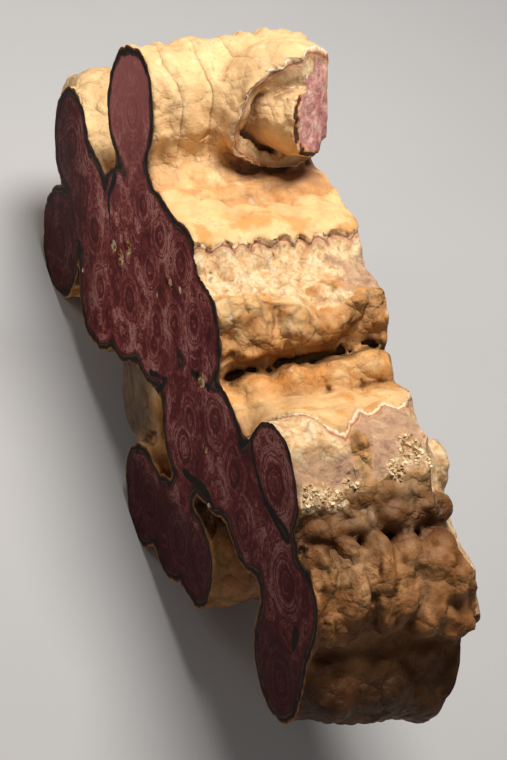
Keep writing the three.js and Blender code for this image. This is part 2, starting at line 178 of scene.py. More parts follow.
# Knobs that grew later and half fill the clefts.
CLEFT_LUMPS = (
    (20.5, 9.0, -5.0, 7.0, 7.0, 6.5),
    (21.0, 19.0, -4.0, 7.0, 7.5, 7.0),
    (22.0, 29.0, -3.0, 7.0, 7.0, 6.5),
    (23.5, 38.0, -1.5, 6.5, 6.5, 6.0),
    (60.0, 3.5, -42.0, 5.0, 3.8, 6.0),
    (60.5, 10.5, -41.5, 5.5, 4.0, 6.0),
    (61.0, 17.5, -41.0, 5.5, 4.2, 6.0),
    (61.0, 25.0, -41.5, 5.5, 4.2, 5.5),
    (60.5, 33.0, -41.0, 5.5, 4.6, 5.0),
    (57.5, 7.5, -34.5, 5.0, 4.6, 4.0),
    (58.0, 15.5, -34.0, 5.0, 5.0, 4.2),
    (58.5, 25.0, -33.0, 5.5, 6.0, 4.4),
    (57.0, 34.5, -32.5, 5.0, 5.5, 4.2),
)


def with_lumps(x, y, z, grown, rows, blend):
    """Joins lumps on, and says how far each point belongs to them."""
    grown = grown.copy()
    share = np.zeros_like(grown)
    for across, deep, up, wide, long, high in rows:
        near = abs(x - across) < wide + LUMP_REACH
        near &= abs(y - deep) < long + LUMP_REACH
        near &= abs(z - up) < high + LUMP_REACH
        ways = ((x[near] - across) / wide, (y[near] - deep) / long, (z[near] - up) / high)
        out = (np.sqrt(sum(way * way for way in ways)) - 1) * min(wide, long, high)
        won = np.clip(0.5 + 0.5 * (grown[near] - out) / blend, 0, 1)
        share[near] = np.maximum(share[near], won)
        grown[near] = soft_min(grown[near], out, blend)
    return grown, share


# The knobs and the grain of the rind are domes round scattered points, one in each cell.
SCATTER_STEPS = (73856093, 19349663, 83492791)
SCATTER_TURNS = (0x9E3779B1, 0x85EBCA6B, 0xC2B2AE35)
SCATTER_LAST_TURN = 0x27D4EB2F
DOME_REACH = 0.85


def scattered(i, j, k):
    """Three even random numbers for a cell, always the same ones."""
    cell = [axis.astype(np.uint32) for axis in (i, j, k)]
    i, j, k = (axis * np.uint32(step) for axis, step in zip(cell, SCATTER_STEPS))
    seed = i ^ j ^ k
    picked = []
    for turn in SCATTER_TURNS:
        value = (seed ^ (seed >> np.uint32(13))) * np.uint32(turn)
        value = (value ^ (value >> np.uint32(15))) * np.uint32(SCATTER_LAST_TURN)
        value = value ^ (value >> np.uint32(16))
        picked.append((value & np.uint32(0xFFFFFF)).astype(np.float32) / 16777216.0)
    return picked


def nearest_two(x, y, z, cell):
    """Distances, in cells, to the nearest and the second nearest scattered point."""
    x, y, z = x / cell[0], y / cell[1], z / cell[2]
    base = [np.floor(axis).astype(np.int64) for axis in (x, y, z)]
    first = np.full(x.shape, 9.0, np.float32)
    second = first.copy()
    for di in (-1, 0, 1):
        for dj in (-1, 0, 1):
            for dk in (-1, 0, 1):
                i, j, k = base[0] + di, base[1] + dj, base[2] + dk
                a, b, c = scattered(i, j, k)
                apart = np.sqrt((i + a - x) ** 2 + (j + b - y) ** 2 + (k + c - z) ** 2)
                apart = apart.astype(np.float32)
                second = np.minimum(second, np.maximum(first, apart))
                first = np.minimum(first, apart)
    return first, second


def domes(x, y, z, cell, height):
    """Low round knobs, each apart from the next."""
    first, _ = nearest_two(x, y, z, cell)
    return height * (1 - np.clip(first / DOME_REACH, 0, 1) ** 2)


def pillows(x, y, z, cell, steep=4.5):
    """Rounded knobs from 0 to 1 that meet in creases."""
    first, second = nearest_two(x, y, z, cell)
    return 1 - np.exp(-steep * (second - first))


def grain(x, y, z, cell):
    """Smooth random waves between -1 and 1, one for each cell."""
    x, y, z = x / cell, y / cell, z / cell
    base = [np.floor(axis) for axis in (x, y, z)]
    share = [axis - low for axis, low in zip((x, y, z), base)]
    share = [s * s * (3 - 2 * s) for s in share]
    base = [low.astype(np.int64) for low in base]
    total = np.zeros(x.shape, np.float32)
    for di in (0, 1):
        for dj in (0, 1):
            for dk in (0, 1):
                weight = np.ones_like(total)
                for s, d in zip(share, (di, dj, dk)):
                    weight = weight * (s if d else 1 - s)
                total += weight * scattered(base[0] + di, base[1] + dj, base[2] + dk)[0]
    return total * 2 - 1


# What has broken off: two big flakes of the wall and four spalls along the back rim, each a
# ball's centre and radius, and the flute of the second tier. The clefts between the tiers are
# natural and softer: start, end, and radius, with a narrower one inside.
WALL_SCARS = ((84.5, 8.0, -14.0, 28.0), (82.0, 27.0, -6.0, 27.0))
BACK_BREAKS = (
    (62.0, 70.0, 0.0, 39.0),
    (78.0, 68.0, -22.0, 39.5),
    (84.0, 72.0, -52.0, 37.3),
    (74.0, 78.0, -70.0, 38.0),
)
FLUTE_RADIUS = 24.0
FLUTE_DEPTH = 0.6
FLUTE_PLACE = (12.6, 26.0)
FLUTE_FACING = (0.79, 0.61)
TORN_TOP = 33.6
TORN_BOTTOM = 17.5
TORN_FROM = -2.0
TORN_DEPTH = 1.3
SCALLOP_LENGTH = 5.3
SCALLOP_HEIGHT = 2.4
CLEFTS = (
    ((21.5, 3.0, 0.5), (26.0, 46.0, 7.5), 4.2, 2.8),
    ((60.5, 1.0, -39.0), (64.5, 46.0, -37.0), 4.2, 2.6),
    ((59.0, 4.0, -62.5), (63.5, 46.0, -63.5), 3.6, 2.8),
)
DEEP_CLEFTS = (
    ((16.0, 4.0, 0.0), (20.5, 46.0, 7.0), 1.7),
    ((57.5, 2.0, -39.5), (60.5, 46.0, -37.5), 1.5),
    ((57.0, 5.0, -62.8), (60.5, 46.0, -63.5), 1.2),
)
CLEFT_BLEND = 1.5
KNOB_CELL = (12.0, 8.0, 12.0)
KNOB_HEIGHT = 1.5
KNOB_SINK = 0.5
GRAIN_CELL = (5.5, 5.0, 5.5)
GRAIN_HEIGHT = 1.1


def ball(x, y, z, across, deep, up, radius):
    """How far inside a ball a point lies."""
    return radius - np.sqrt((x - across) ** 2 + (y - deep) ** 2 + (z - up) ** 2)


def flute(x, y, z):
    """How far inside the long round groove of the second tier a point lies."""
    way = FLUTE_RADIUS - FLUTE_DEPTH
    return FLUTE_RADIUS - np.hypot(
        x - (FLUTE_PLACE[0] + FLUTE_FACING[0] * way),
        z - (FLUTE_PLACE[1] + FLUTE_FACING[1] * way),
    )


def torn_band(x, y, z):
    """Where the second tier has lost its rind: 1 inside, a scalloped edge above and a ragged one
    below, and how far under the upper edge a point lies."""
    arcs = abs(np.sin(np.pi * (y + 1.4 * grain(x, y, z, 9.0)) / SCALLOP_LENGTH)) ** 0.7
    top = TORN_TOP + 0.035 * (y - 24) + SCALLOP_HEIGHT * (arcs - 0.6) + 0.5 * grain(x, y, z, 3.1)
    bottom = TORN_BOTTOM + 3.5 * grain(x, y, z, 8.0) + 1.5 * grain(x, y, z, 3.3)
    share = np.clip((top - z) / 0.8, 0, 1) * np.clip((z - bottom) / 3.0, 0, 1)
    return share * np.clip((x - TORN_FROM) / 2.0, 0, 1), top - z


# The lip of the third tier wanders over its shelf: how deep, and how far across.
LIP_DEEP = (0.0, 4.0, 7.0, 11.6, 14.5, 17.0, 19.5, 27.0, 35.0, 46.0)
LIP_ACROSS = (33.0, 35.0, 44.0, 51.0, 54.0, 53.0, 49.5, 44.5, 42.0, 41.0)
WALL_FOOT = -27.5
WALL_FOOT_RISE = 0.28


def torn_wall(x, y, z):
    """The same for the wall of the third tier, whose lip lies on the shelf above it."""
    arcs = abs(np.sin(np.pi * (y + grain(x, y, z, 8.0)) / 4.4)) ** 0.7
    lip = np.interp(y, LIP_DEEP, LIP_ACROSS) + 1.2 * (arcs - 0.5) + 0.6 * grain(x, y, z, 2.6)
    foot = WALL_FOOT + WALL_FOOT_RISE * y + 3.0 * grain(x, y, z, 7.0) + grain(x, y, z, 2.8)
    share = np.clip((x - lip) / 1.0, 0, 1) * np.clip((z - foot) / 1.5, 0, 1)
    return share * np.clip((-4.0 - z) / 1.0, 0, 1), (x - lip) * 0.9


def zone(x, z, across, up, reach):
    """1 at a place on the slice, fading to 0 with distance."""
    return np.exp(-((x - across) ** 2 + (z - up) ** 2) / reach ** 2)


# How lumpy the rind is near each tier: across, up, reach, the size of a lump across, deep and
# up, how steep its sides are, and how high it stands.
LUMPY_ZONES = (
    (-22.0, 62.0, 12.0, (9.0, 8.0, 8.0), 3.5, 1.3),
    (-8.0, 49.0, 8.0, (12.0, 10.0, 9.0), 3.0, 0.7),
    (17.0, 10.0, 10.0, (11.0, 8.5, 10.0), 3.6, 2.3),
    (25.0, -3.0, 7.0, (10.0, 8.0, 9.0), 3.0, 1.4),
    (57.0, -31.0, 8.0, (11.0, 9.0, 7.5), 3.2, 1.6),
    (62.0, -50.0, 13.0, (17.0, 7.6, 19.0), 2.6, 1.6),
    (54.0, -71.0, 9.0, (14.0, 8.0, 20.0), 2.6, 1.5),
)
CROWN_RING = 9.0
CROWN_FIRST_RING = 6.6
# The smooth layer that lies over the saddle ends in a scalloped step: how deep, and how far up.
STEP_DEEP = (0.0, 1.6, 5.6, 9.2, 15.1, 21.7, 32.0, 39.0, 46.0)
STEP_UP = (49.0, 48.6, 47.6, 45.8, 43.9, 42.6, 42.8, 44.6, 46.0)
STEP_HEIGHT = 1.0


def smooth_layer(x, y, z):
    """1 where the smooth layer lies over the saddle, 0 beyond its scalloped step."""
    arcs = abs(np.sin(np.pi * (y + 1.6 * grain(x, y, z, 9.0)) / 8.5)) ** 0.6
    edge = np.interp(y, STEP_DEEP, STEP_UP) + 2.2 * (arcs - 0.6)
    share = np.clip((edge - z) / 0.7, 0, 1) * np.clip((x + 22) / 4, 0, 1)
    return share * np.clip((z - 30) / 2, 0, 1)


def ring_count(x, y, z):
    """Which of the rings round the crown a point is on. They meet at whole numbers."""
    stir = 1.6 * grain(x, y, z, 9.0) + 1.5 * np.sin((z - x) / 7.0)
    return (y - CROWN_FIRST_RING + 0.7 * stir) / CROWN_RING


def rind_relief(x, y, z):
    """The small knobs and creases of the rind: low on the smooth shelves, high on the flanks."""
    shelf = np.clip(zone(x, z, 0, 42, 12) + zone(x, z, 36, -8, 10), 0, 1)
    stir = 1.6 * grain(x, y, z, 9.0)
    relief = 0.12 * grain(x, y, z, 2.3)
    taken = shelf.copy()
    for across, up, reach, cell, steep, height in LUMPY_ZONES:
        share = zone(x, z, across, up, reach)
        near = share > 0.03
        a, b, c, moved = x[near], y[near], z[near], stir[near]
        lumps = pillows(a + moved, b + 37 - moved, c + moved, cell, steep)
        relief[near] += share[near] * height * (lumps - 0.6)
        taken = np.maximum(taken, share)
    relief += (1 - taken) * 0.8 * (pillows(x, y, z, (7.5, 6.4, 8.5)) - 0.6)
    relief += (0.32 - 0.28 * shelf) * (pillows(x + 31, y, z, (3.5, 3.1, 3.7)) - 0.6)
    rings = abs(np.sin(np.pi * ring_count(x, y, z))) ** 0.6
    relief += zone(x, z, -22, 74, 17) * 1.5 * (rings - 0.8)
    return relief + STEP_HEIGHT * smooth_layer(x, y, z)


def cleft(x, y, z, start, end, radius):
    """How far outside a round gap between two ends a point lies."""
    start, end = np.array(start), np.array(end)
    run = end - start
    along = (x - start[0]) * run[0] + (y - start[1]) * run[1] + (z - start[2]) * run[2]
    along = np.clip(along / np.dot(run, run), 0, 1)
    gap = [axis - low - along * step for axis, low, step in zip((x, y, z), start, run)]
    return np.sqrt(sum(way * way for way in gap)) - radius


# The side branch on the crown: a coat round a core, broken open on the near side, under a hood.
CROWN_FROM = 40.0
CROWN_MIDDLE = -15.0
CROWN_HALF = 40.0
BRANCH_ROOT = (-11.0, 33.0, 67.0)
BRANCH_AXIS = (0.8004, 0.5003, -0.3302)
BRANCH_MOUTH = (0.2862, -0.8023, -0.5239)
COAT_RADIUS = 13.0
COAT_START = -8.0
CORE_RADIUS = 8.6
CORE_START = -12.0
RIM_START = -1.5
RIM_RISE = 8.0
GAP_RADIUS = 9.4
GAP_HALF_WIDTH = 0.8
GAP_FROM = 0.4
LIP_CURL = 1.3
LIP_WIDTH = 2.6
GAP_DEPTH = 3.5
HOOD_CENTRE = (-10.0, 36.5, 77.0)
HOOD_RADII = (13.5, 14.0, 9.5)
END_PLACE = (-0.6, 40.0, 66.0)
END_FACING = (0.8, 0.58, -0.12)


def by_crown(x, z):
    """The part of the slice that the side branch can reach."""
    return (z > CROWN_FROM) & (abs(x - CROWN_MIDDLE) < CROWN_HALF)


def with_branch(x, y, z, grown, marks, fine):
    """Joins the side branch on, and marks its broken coat and its broken end."""
    rough = 1.2 * grain(x, y, z, 5.5) + 0.5 * grain(x, y, z, 2.4) if fine else 0.0
    from_root = [axis - low for axis, low in zip((x, y, z), BRANCH_ROOT)]
    along = sum(way * axis for way, axis in zip(from_root, BRANCH_AXIS))
    side = [way - along * axis for way, axis in zip(from_root, BRANCH_AXIS)]
    out = np.sqrt(sum(way * way for way in side))
    turned = sum(way * axis for way, axis in zip(side, BRANCH_MOUTH)) / (out + 1e-6)
    out = out + 0.6 * rough
    rim = RIM_START + RIM_RISE * (1 - turned) + 1.3 * rough
    curl = LIP_CURL * np.exp(-((rim - along) / LIP_WIDTH) ** 2) if fine else 0.0
    coat = np.maximum(out - COAT_RADIUS - curl, COAT_START - along)
    hood = [(axis - low) / size for axis, low, size in zip((x, y, z), HOOD_CENTRE, HOOD_RADII)]
    hood = (np.sqrt(sum(way * way for way in hood)) - 1) * min(HOOD_RADII)
    whole = soft_min(coat, hood, 4.0)
    mouth = np.maximum(CORE_RADIUS - out, (rim - along) * 0.6)
    end = sum((axis - low) * facing for axis, low, facing in zip((x, y, z), END_PLACE, END_FACING))
    if fine:
        end = end + 0.6 * abs(rough) + 0.5 * pillows(x, y, z, (4.0, 3.0, 5.0))
    head = np.maximum(np.maximum(whole, -mouth), end)
    with_head = soft_min(grown, head, 1.5)
    gap = np.maximum(abs(out - GAP_RADIUS) - GAP_HALF_WIDTH, rim - GAP_DEPTH - along)
    gap = np.maximum(gap, (GAP_FROM - turned) * 9)
    with_gap = np.maximum(with_head, -gap)
    shed = np.clip((along - 3 - 5 * turned - 2 * rough) / 0.6, 0, 1) * 0.9 if fine else 0.0
    core = np.maximum(np.maximum(out + shed - CORE_RADIUS, CORE_START - along), end)
    joined = soft_min(with_gap, core, 0.8)
    own = joined < np.minimum(grown, 0.8) - 0.05
    ended = own & (end > joined - 0.5)
    broken = own & ~ended & (abs(mouth) < 0.7) & (whole < -0.2) & (out > CORE_RADIUS + 0.6)
    under, torn, from_lip, tone_of = marks
    from_edge = np.maximum(-whole, 0)
    peeled = own & (shed > 0.5) & (abs(joined - core) < 0.3) & ~ended
    under = np.where(own, np.where(ended | broken, from_edge, 0), under)
    torn = np.where(own, np.where(ended | broken, 1.0, peeled * 0.9), torn)
    from_lip = np.where(peeled, 9.0, from_lip)
    from_lip = np.where(ended | broken, from_edge + 0.6 + 0.6 * rough, from_lip)
    dark_line = (abs(out - CORE_RADIUS + 0.6) < 0.9) & (turned > 0.1)
    end_tone = np.where(dark_line, 1.6, np.where(from_edge > 1.6 + 0.8 * rough, 1.0, 0.2))
    tone_of = np.where(ended, end_tone, np.where(peeled, 1.3, np.where(own, 0.2, tone_of)))
    return joined, (under, torn, from_lip, tone_of)


def back(x, z):
    """How deep the sawn back lies. It leans, and has a bevel at the foot."""
    bevel = np.clip(FOOT_BEVEL_START - z, 0, 40) * FOOT_BEVEL_SLOPE
    return THICKNESS + BACK_LEAN * z - bevel


def stone(x, y, z, fine):
    """How far a point lies outside the stone, and four marks: the depth under the skin that grew,
    the share of torn face, the way in from its lip, and its tone from cream over grey to pink.
    The fine shape has the small knobs, the scallops and the torn grain of the broken faces."""
    x, y, z = (axis.astype(np.float32) for axis in (x, y, z))
    blend = FINE_LUMP_BLEND if fine else LUMP_BLEND
    skin, _ = with_lumps(x, y, z, cluster(x, y, z), LUMPS, blend)
    skin = skin - domes(x, y, z, KNOB_CELL, KNOB_HEIGHT) + KNOB_SINK
    flakes = domes(x, y, z, GRAIN_CELL, GRAIN_HEIGHT)
    relief = rind_relief(x, y, z) if fine else 0.0
    skin = skin - relief
    torn = np.zeros_like(skin)
    from_lip = np.full_like(skin, 9.0)
    tone_of = np.zeros_like(skin)
    if fine:
        stir = 2.2 * grain(x, y, z, 6.5)
        shards = pillows(x + stir, y + stir, z, (3.4, 2.4, 6.0))
        shards = shards + 0.5 * pillows(x, y + 9, z, (2.0, 1.7, 2.4))
        torn, from_lip = torn_band(x, y, z)
        grown = skin + torn * (TORN_DEPTH + relief * 0.6 - shards * 1.1 + 0.6)
        wall, from_wall_lip = torn_wall(x, y, z)
        grown = grown + wall * (TORN_DEPTH + relief - shards * 0.45 + 0.3)
        from_lip = np.where(wall > 0.01, from_wall_lip, from_lip)
        waves = grain(x, y, z, 5.0)
        greyed = np.clip((y - 13 + 2 * waves) / 3, 0, 1)
        greyed = np.maximum(greyed, np.clip((-16 - z + 2 * waves) / 3, 0, 1))
        far = np.clip((y - 30 + 6 * waves) / 6, 0, 1) * np.clip((31 - z + 3 * waves) / 4, 0, 1)
        tone_of = np.where(wall > 0.01, 0.15 + 0.4 * greyed, 0.5 * far)
        torn = np.maximum(torn, wall)
        flakes = 0.35 * flakes + 0.3 * grain(x, y, z, 1.7) + 0.4 * grain(x, y, z, 3.7)
    else:
        grown = np.maximum(skin, flute(x, y, z) - flakes)
    under = -skin
    for row in WALL_SCARS:
        scar = ball(x, y, z, *row) - flakes
        won = (scar > grown) & (skin < 0.1) & (torn < 0.5)
        torn = np.where(won, np.clip(-skin / 0.3, 0, 1), torn)
        from_lip = np.where(won, 9.0, from_lip)
        tone_of = np.where(won, 0.6, tone_of)
        grown = np.maximum(grown, scar)
    grown, share = with_lumps(x, y, z, grown, WALL_LUMPS, blend)
    grown = grown - relief * share * (torn > 0)
    under = under * (1 - share) + np.maximum(-grown, 0) * share
    torn = torn * (1 - share)
    for row in BACK_BREAKS:
        spall = ball(x, y, z, *row) - flakes
        won = (spall > grown) & (skin < 0.1)
        torn = np.where(won, np.clip(-skin / 0.3, 0, 1), torn)
        from_lip = np.where(won, -skin * 1.2, from_lip)
        tone_of = np.where(won, 0.25, tone_of)
        grown = np.maximum(grown, spall)
    wander = 0.4 * relief + 0.9 * grain(x, y, z, 7.0) if fine else 0.0
    narrow = [(start, end, radius) for start, end, _, radius in CLEFTS] + list(DEEP_CLEFTS)
    for start, end, radius in narrow if fine else [row[:3] for row in CLEFTS]:
        gap = cleft(x, y, z, start, end, radius) + wander
        under = np.minimum(under, np.maximum(gap, 0))
        torn = torn * np.clip(gap / 0.5, 0, 1)
        grown = -soft_min(-grown, gap, CLEFT_BLEND)
    if fine:
        grown, share = with_lumps(x, y, z, grown, CLEFT_LUMPS, 1.1)
        grown = grown - 0.7 * relief * share
        under = under * (1 - share) + np.maximum(-grown, 0) * share
        torn = torn * (1 - share)
    crown = by_crown(x, z)
    marks = [under, torn, from_lip, tone_of]
    at_crown = [mark[crown] for mark in marks]
    grown[crown], changed = with_branch(x[crown], y[crown], z[crown], grown[crown], at_crown, fine)
    for mark, part in zip(marks, changed):
        mark[crown] = part
    return grown, marks


# A net of points is laid through the block in layers from cut to cut, and each cell that the
# skin passes through gets one vertex, joined to those of its neighbours.
def lay_net():
    """How far outside the stone each point of the net lies, worked out finely near the skin."""
    xs = np.arange(NET_ACROSS[0], NET_ACROSS[1] + 0.1, NET_STEP)
    zs = np.arange(NET_UP[0], NET_UP[1] + 0.1, NET_STEP)
    layers = (np.arange(NET_LAYERS + 2) - 0.5) / NET_LAYERS
    shape = (len(xs), len(layers), len(zs))
    x, layer, z = np.meshgrid(xs, layers, zs, indexing="ij")
    y = layer * back(x, z)
    x, y, z = (axis.ravel().astype(np.float32) for axis in (x, y, z))
    net = np.full(x.shape, OUTSIDE, np.float32)
    rough = cluster(x, y, z)
    band = abs(rough) < COARSE_BAND
    band |= by_crown(x, z) & (rough < CROWN_BAND)
    net[rough <= -COARSE_BAND] = INSIDE
    net[band] = stone(x[band], y[band], z[band], False)[0]
    near = abs(net) < FINE_BAND
    net[near] = stone(x[near], y[near], z[near], True)[0]
    net = net.reshape(shape)
    net[:, 0, :] = net[:, -1, :] = OUTSIDE
    return xs, zs, net


def join_diagonals(net):
    """Fills a corner where two inside points touch only across a square."""
    for _ in range(4):
        filled = 0
        for axes in ((0, 1), (0, 2), (1, 2)):
            view = np.moveaxis(net, axes, (0, 1))
            low, one, two, both = view[:-1, :-1], view[1:, :-1], view[:-1, 1:], view[1:, 1:]
            odd = (low < 0) & (both < 0) & (one >= 0) & (two >= 0)
            one[odd] = JOINED
            odd_too = (one < 0) & (two < 0) & (low >= 0) & (both >= 0)
            low[odd_too] = JOINED
            filled += int(odd.sum() + odd_too.sum())
        net[:, 0, :] = net[:, -1, :] = OUTSIDE
        if not filled:
            break
    return net


def skin_of(xs, zs, net):
    """The vertices and four-sided faces of the skin, the cut that each vertex lies on, 0 for
    neither, 1 for the front and 2 for the back, and whether it is on that cut's edge."""
    inside = net < 0
    corners = [(a, b, c) for a in (0, 1) for b in (0, 1) for c in (0, 1)]
    size = [n - 1 for n in net.shape]
    count = np.zeros(size, np.int8)
    for a, b, c in corners:
        count += inside[a:a + size[0], b:b + size[1], c:c + size[2]]
    cells = np.argwhere((count > 0) & (count < 8))
    number = np.full(size, -1, np.int64)
    number[tuple(cells.T)] = np.arange(len(cells))
    total = np.zeros((len(cells), 3))
    hits = np.zeros(len(cells))
    flat_total = np.zeros((len(cells), 3))
    flat_hits = np.zeros(len(cells))
    for a, b, c in corners:
        for axis in range(3):
            if (a, b, c)[axis]:
                continue
            one = cells + (a, b, c)
            two = one.copy()
            two[:, axis] += 1
            low, high = net[tuple(one.T)], net[tuple(two.T)]
            crossed = (low < 0) != (high < 0)
            way = np.where(crossed, low / np.where(crossed, low - high, 1), 0)
            place = np.array((a, b, c), float) + way[:, None] * np.eye(3)[axis]
            if axis == 1:
                flat_total[crossed] += place[crossed]
                flat_hits[crossed] += 1
            else:
                total[crossed] += place[crossed]
                hits[crossed] += 1
    cut = np.where(cells[:, 1] == 0, 1, np.where(cells[:, 1] == size[1] - 1, 2, 0))
    own = cut == 0
    total[own] += flat_total[own]
    hits[own] += flat_hits[own]
    place = np.where(hits[:, None] > 0, total / np.maximum(hits, 1)[:, None], 0.5)
    place[cut > 0, 1] = 0.5
    place += cells
    x = xs[0] + place[:, 0] * NET_STEP
    z = zs[0] + place[:, 2] * NET_STEP
    y = (place[:, 1] - 0.5) / NET_LAYERS * back(x, z)
    faces = []
    for axis in range(3):
        low, high = np.delete(inside, -1, axis), np.delete(inside, 0, axis)
        u, v = (axis + 1) % 3, (axis + 2) % 3
        for leaving, flip in ((low & ~high, False), (~low & high, True)):
            spots = np.argwhere(leaving)
            ring = []
            for du, dv in ((0, 0), (-1, 0), (-1, -1), (0, -1)):
                spot = spots.copy()
                spot[:, u] += du
                spot[:, v] += dv
                ring.append(number[tuple(spot.T)])
            ring = np.stack(ring, 1)
            faces.append(ring[:, ::-1] if flip else ring)
    on_edge = (cut > 0) & (hits > 0)
    return np.stack((x, y, z), 1), np.concatenate(faces), cut, on_edge


def slope(points, reach):
    """The way out of the stone at each point."""
    steps = []
    for axis in range(3):
        shift = np.zeros(3)
        shift[axis] = reach
        high = stone(*(points + shift).T, True)[0]
        low = stone(*(points - shift).T, True)[0]
        steps.append((high - low) / (2 * reach))
    return np.stack(steps, 1)


# The vertices are then moved onto the skin itself, at most SETTLE_LIMIT millimetres.
SETTLE_REACH = 0.35
SETTLE_LIMIT = 0.55
SETTLE_SHARE = 0.9
EDGE_GAP = 0.05
net_across, net_up, net = lay_net()
points, faces, cut, on_edge = skin_of(net_across, net_up, join_diagonals(net))
free = cut == 0
moving = free | on_edge
outside = stone(*points[moving].T, True)[0]
way = slope(points[moving], SETTLE_REACH)
way[on_edge[moving], 1] = 0
length = np.maximum((way * way).sum(1), 0.2)
shift = -outside[:, None] * way / length[:, None]
limit = SETTLE_LIMIT / np.maximum(np.linalg.norm(shift, axis=1), SETTLE_LIMIT)
points[moving] += shift * limit[:, None] * SETTLE_SHARE
points[cut == 1, 1] = 0.0
points[cut == 2, 1] = back(points[cut == 2, 0], points[cut == 2, 2])
deepest = back(points[free, 0], points[free, 2]) - EDGE_GAP
points[free, 1] = np.clip(points[free, 1], EDGE_GAP, deepest)

# What the finishes need to know at each vertex: the four marks of the stone, how near it is to a
# patch of the crust, what the rind is like there, and how deep it lies in a hollow.
_, (under_skin, torn, from_lip, torn_tone) = stone(*points.T, True)
CRUST = (
    (60.5, 29.5, -18.0, 4.2), (61.0, 34.5, -20.0, 3.4), (60.0, 24.5, -22.5, 2.6),
    (60.5, 3.0, -27.0, 3.2), (60.5, 9.0, -27.5, 3.0), (59.5, 13.5, -24.5, 2.0),
    (59.0, 20.5, -24.5, 2.2), (58.5, 27.0, -13.5, 1.8),
)
crust = np.zeros(len(points))
for across, deep, up, reach in CRUST:
    apart = ((points - (across, deep, up)) ** 2).sum(1)
    crust = np.maximum(crust, np.exp(-apart / (1.4 * reach ** 2)))
crust = np.where(cut == 0, crust + 0.3 * grain(*points.T, 2.6), 0)
across, deep, up = points.T
cream = np.clip(0.8 * smooth_layer(across, deep, up) + 1.2 * zone(across, up, 42, -8, 13), 0, 1)
warm = zone(across, up, 23, -1, 5.5)
lumpy = np.clip(0.6 + zone(across, up, 17, 10, 10) + zone(across, up, 58, -31, 9), 0, 1)
lumpy *= 1 - 0.75 * cream
lumpy *= 1 - 0.6 * zone(across, up, -12, 84, 13)
ring = ring_count(across, deep, up)
ringed_here = zone(across, up, -20, 72, 15) * (deep < 31 - 0.2 * (up - 60))
outward = slope(points, 0.6)
outward /= np.maximum(np.linalg.norm(outward, axis=1), 1e-6)[:, None]
hollow_small = 1 - stone(*(points + outward * 1.6).T, True)[0] / 1.6
hollow_wide = 1 - stone(*(points + outward * 6.0).T, False)[0] / 6.0

# The dark seams folded into the cut: start, end, and width at each.
SEAMS = (
    ((-43.5, 55.0), (-50.0, 50.5), 2.6, 1.8),
    ((-50.0, 50.5), (-51.0, 42.0), 1.6, 0.5),
    ((-28.0, 2.0), (-17.0, 0.0), 1.6, 1.2),
    ((-17.0, 0.0), (-26.0, -4.0), 1.2, 1.8),
    ((2.0, 2.0), (12.0, -2.0), 1.6, 1.2),
    ((-9.0, -23.5), (4.0, -27.5), 1.8, 2.6),
    ((4.0, -27.5), (9.0, -31.5), 2.6, 1.2),
    ((36.5, -9.5), (36.0, -18.0), 1.5, 1.2),
    ((36.0, -18.0), (41.0, -28.0), 1.2, 1.4),
    ((41.0, -28.0), (52.0, -35.5), 1.6, 3.4),
    ((53.0, -57.0), (50.0, -62.0), 3.0, 1.0),
)
seam = np.full(len(points), 50.0)
for start, end, wide, narrow in SEAMS:
    run = np.subtract(end, start)
    along = np.clip(((points[:, [0, 2]] - start) @ run) / np.dot(run, run), 0, 1)
    nearest = np.array(start) + along[:, None] * run
    half = 0.55 * (wide + (narrow - wide) * along)
    seam = np.minimum(seam, np.linalg.norm(points[:, [0, 2]] - nearest, axis=1) - half)

# Five small cavities are open on the cut: across and up, radius, and depth.
CAVITIES = (
    (-44.8, 33.2, 2.6, 1.3),
    (-38.0, 35.6, 2.4, 1.1),
    (-49.5, 36.6, 2.2, 1.0),
    (-9.3, 24.5, 1.9, 1.0),
    (7.0, 0.0, 2.4, 1.2),
)
for across, up, radius, depth in CAVITIES:
    away = np.hypot(points[:, 0] - across, points[:, 2] - up) / radius
    sunk = (cut == 1) & (away < 1)
    points[sunk, 1] += depth * (1 - away[sunk] ** 2)

# The slice is turned on its face until it stands on two of its lobes.
turn_cos, turn_sin = math.cos(STAND_TURN), math.sin(STAND_TURN)


def turned(across, deep, up):
    """A direction on the slice to the same direction in the standing stone."""
    return turn_cos * across - turn_sin * up, deep, turn_sin * across + turn_cos * up


def stand(across, deep, up):
    """A place on the slice to its place in the standing stone, in metres."""
    x, y, z = turned(across, deep, up)
    return (x - MIDDLE_X) / 1000, (y - MIDDLE_Y) / 1000, (z - FLOOR_LEVEL) / 1000


standing = np.stack(stand(*points.T), 1)
standing = np.clip(standing, np.array(cad_low) + 1e-5, np.array(cad_high) - 1e-5)
standing[standing[:, 2] < 2e-5, 2] = 0.0

mesh = bpy.data.meshes.new("slice_stone")
mesh.from_pydata(standing.tolist(), [], faces.tolist())
on_front = (cut[faces] == 1).all(1)
on_back = (cut[faces] == 2).all(1)
finish_of = np.where(on_front, 1, np.where(on_back, 2, 0)).astype(np.int32)
mesh.polygons.foreach_set("material_index", finish_of)
mesh.polygons.foreach_set("use_smooth", ~(on_front | on_back))
for name, values in dict(
    under_skin=under_skin, hollow_small=hollow_small, hollow_wide=hollow_wide, seam=seam,
    torn=torn, from_lip=np.clip(from_lip, -2, 9), torn_tone=torn_tone, cream=cream, warm=warm,
    lumpy=lumpy, ring=ring, ringed_here=ringed_here, crust=crust,
).items():
    layer = mesh.attributes.new(name, "FLOAT", "POINT")
    layer.data.foreach_set("value", values.astype(np.float32))
mesh.update()
slice_stone = bpy.data.objects.new("slice_stone", mesh)
bpy.context.scene.collection.objects.link(slice_stone)


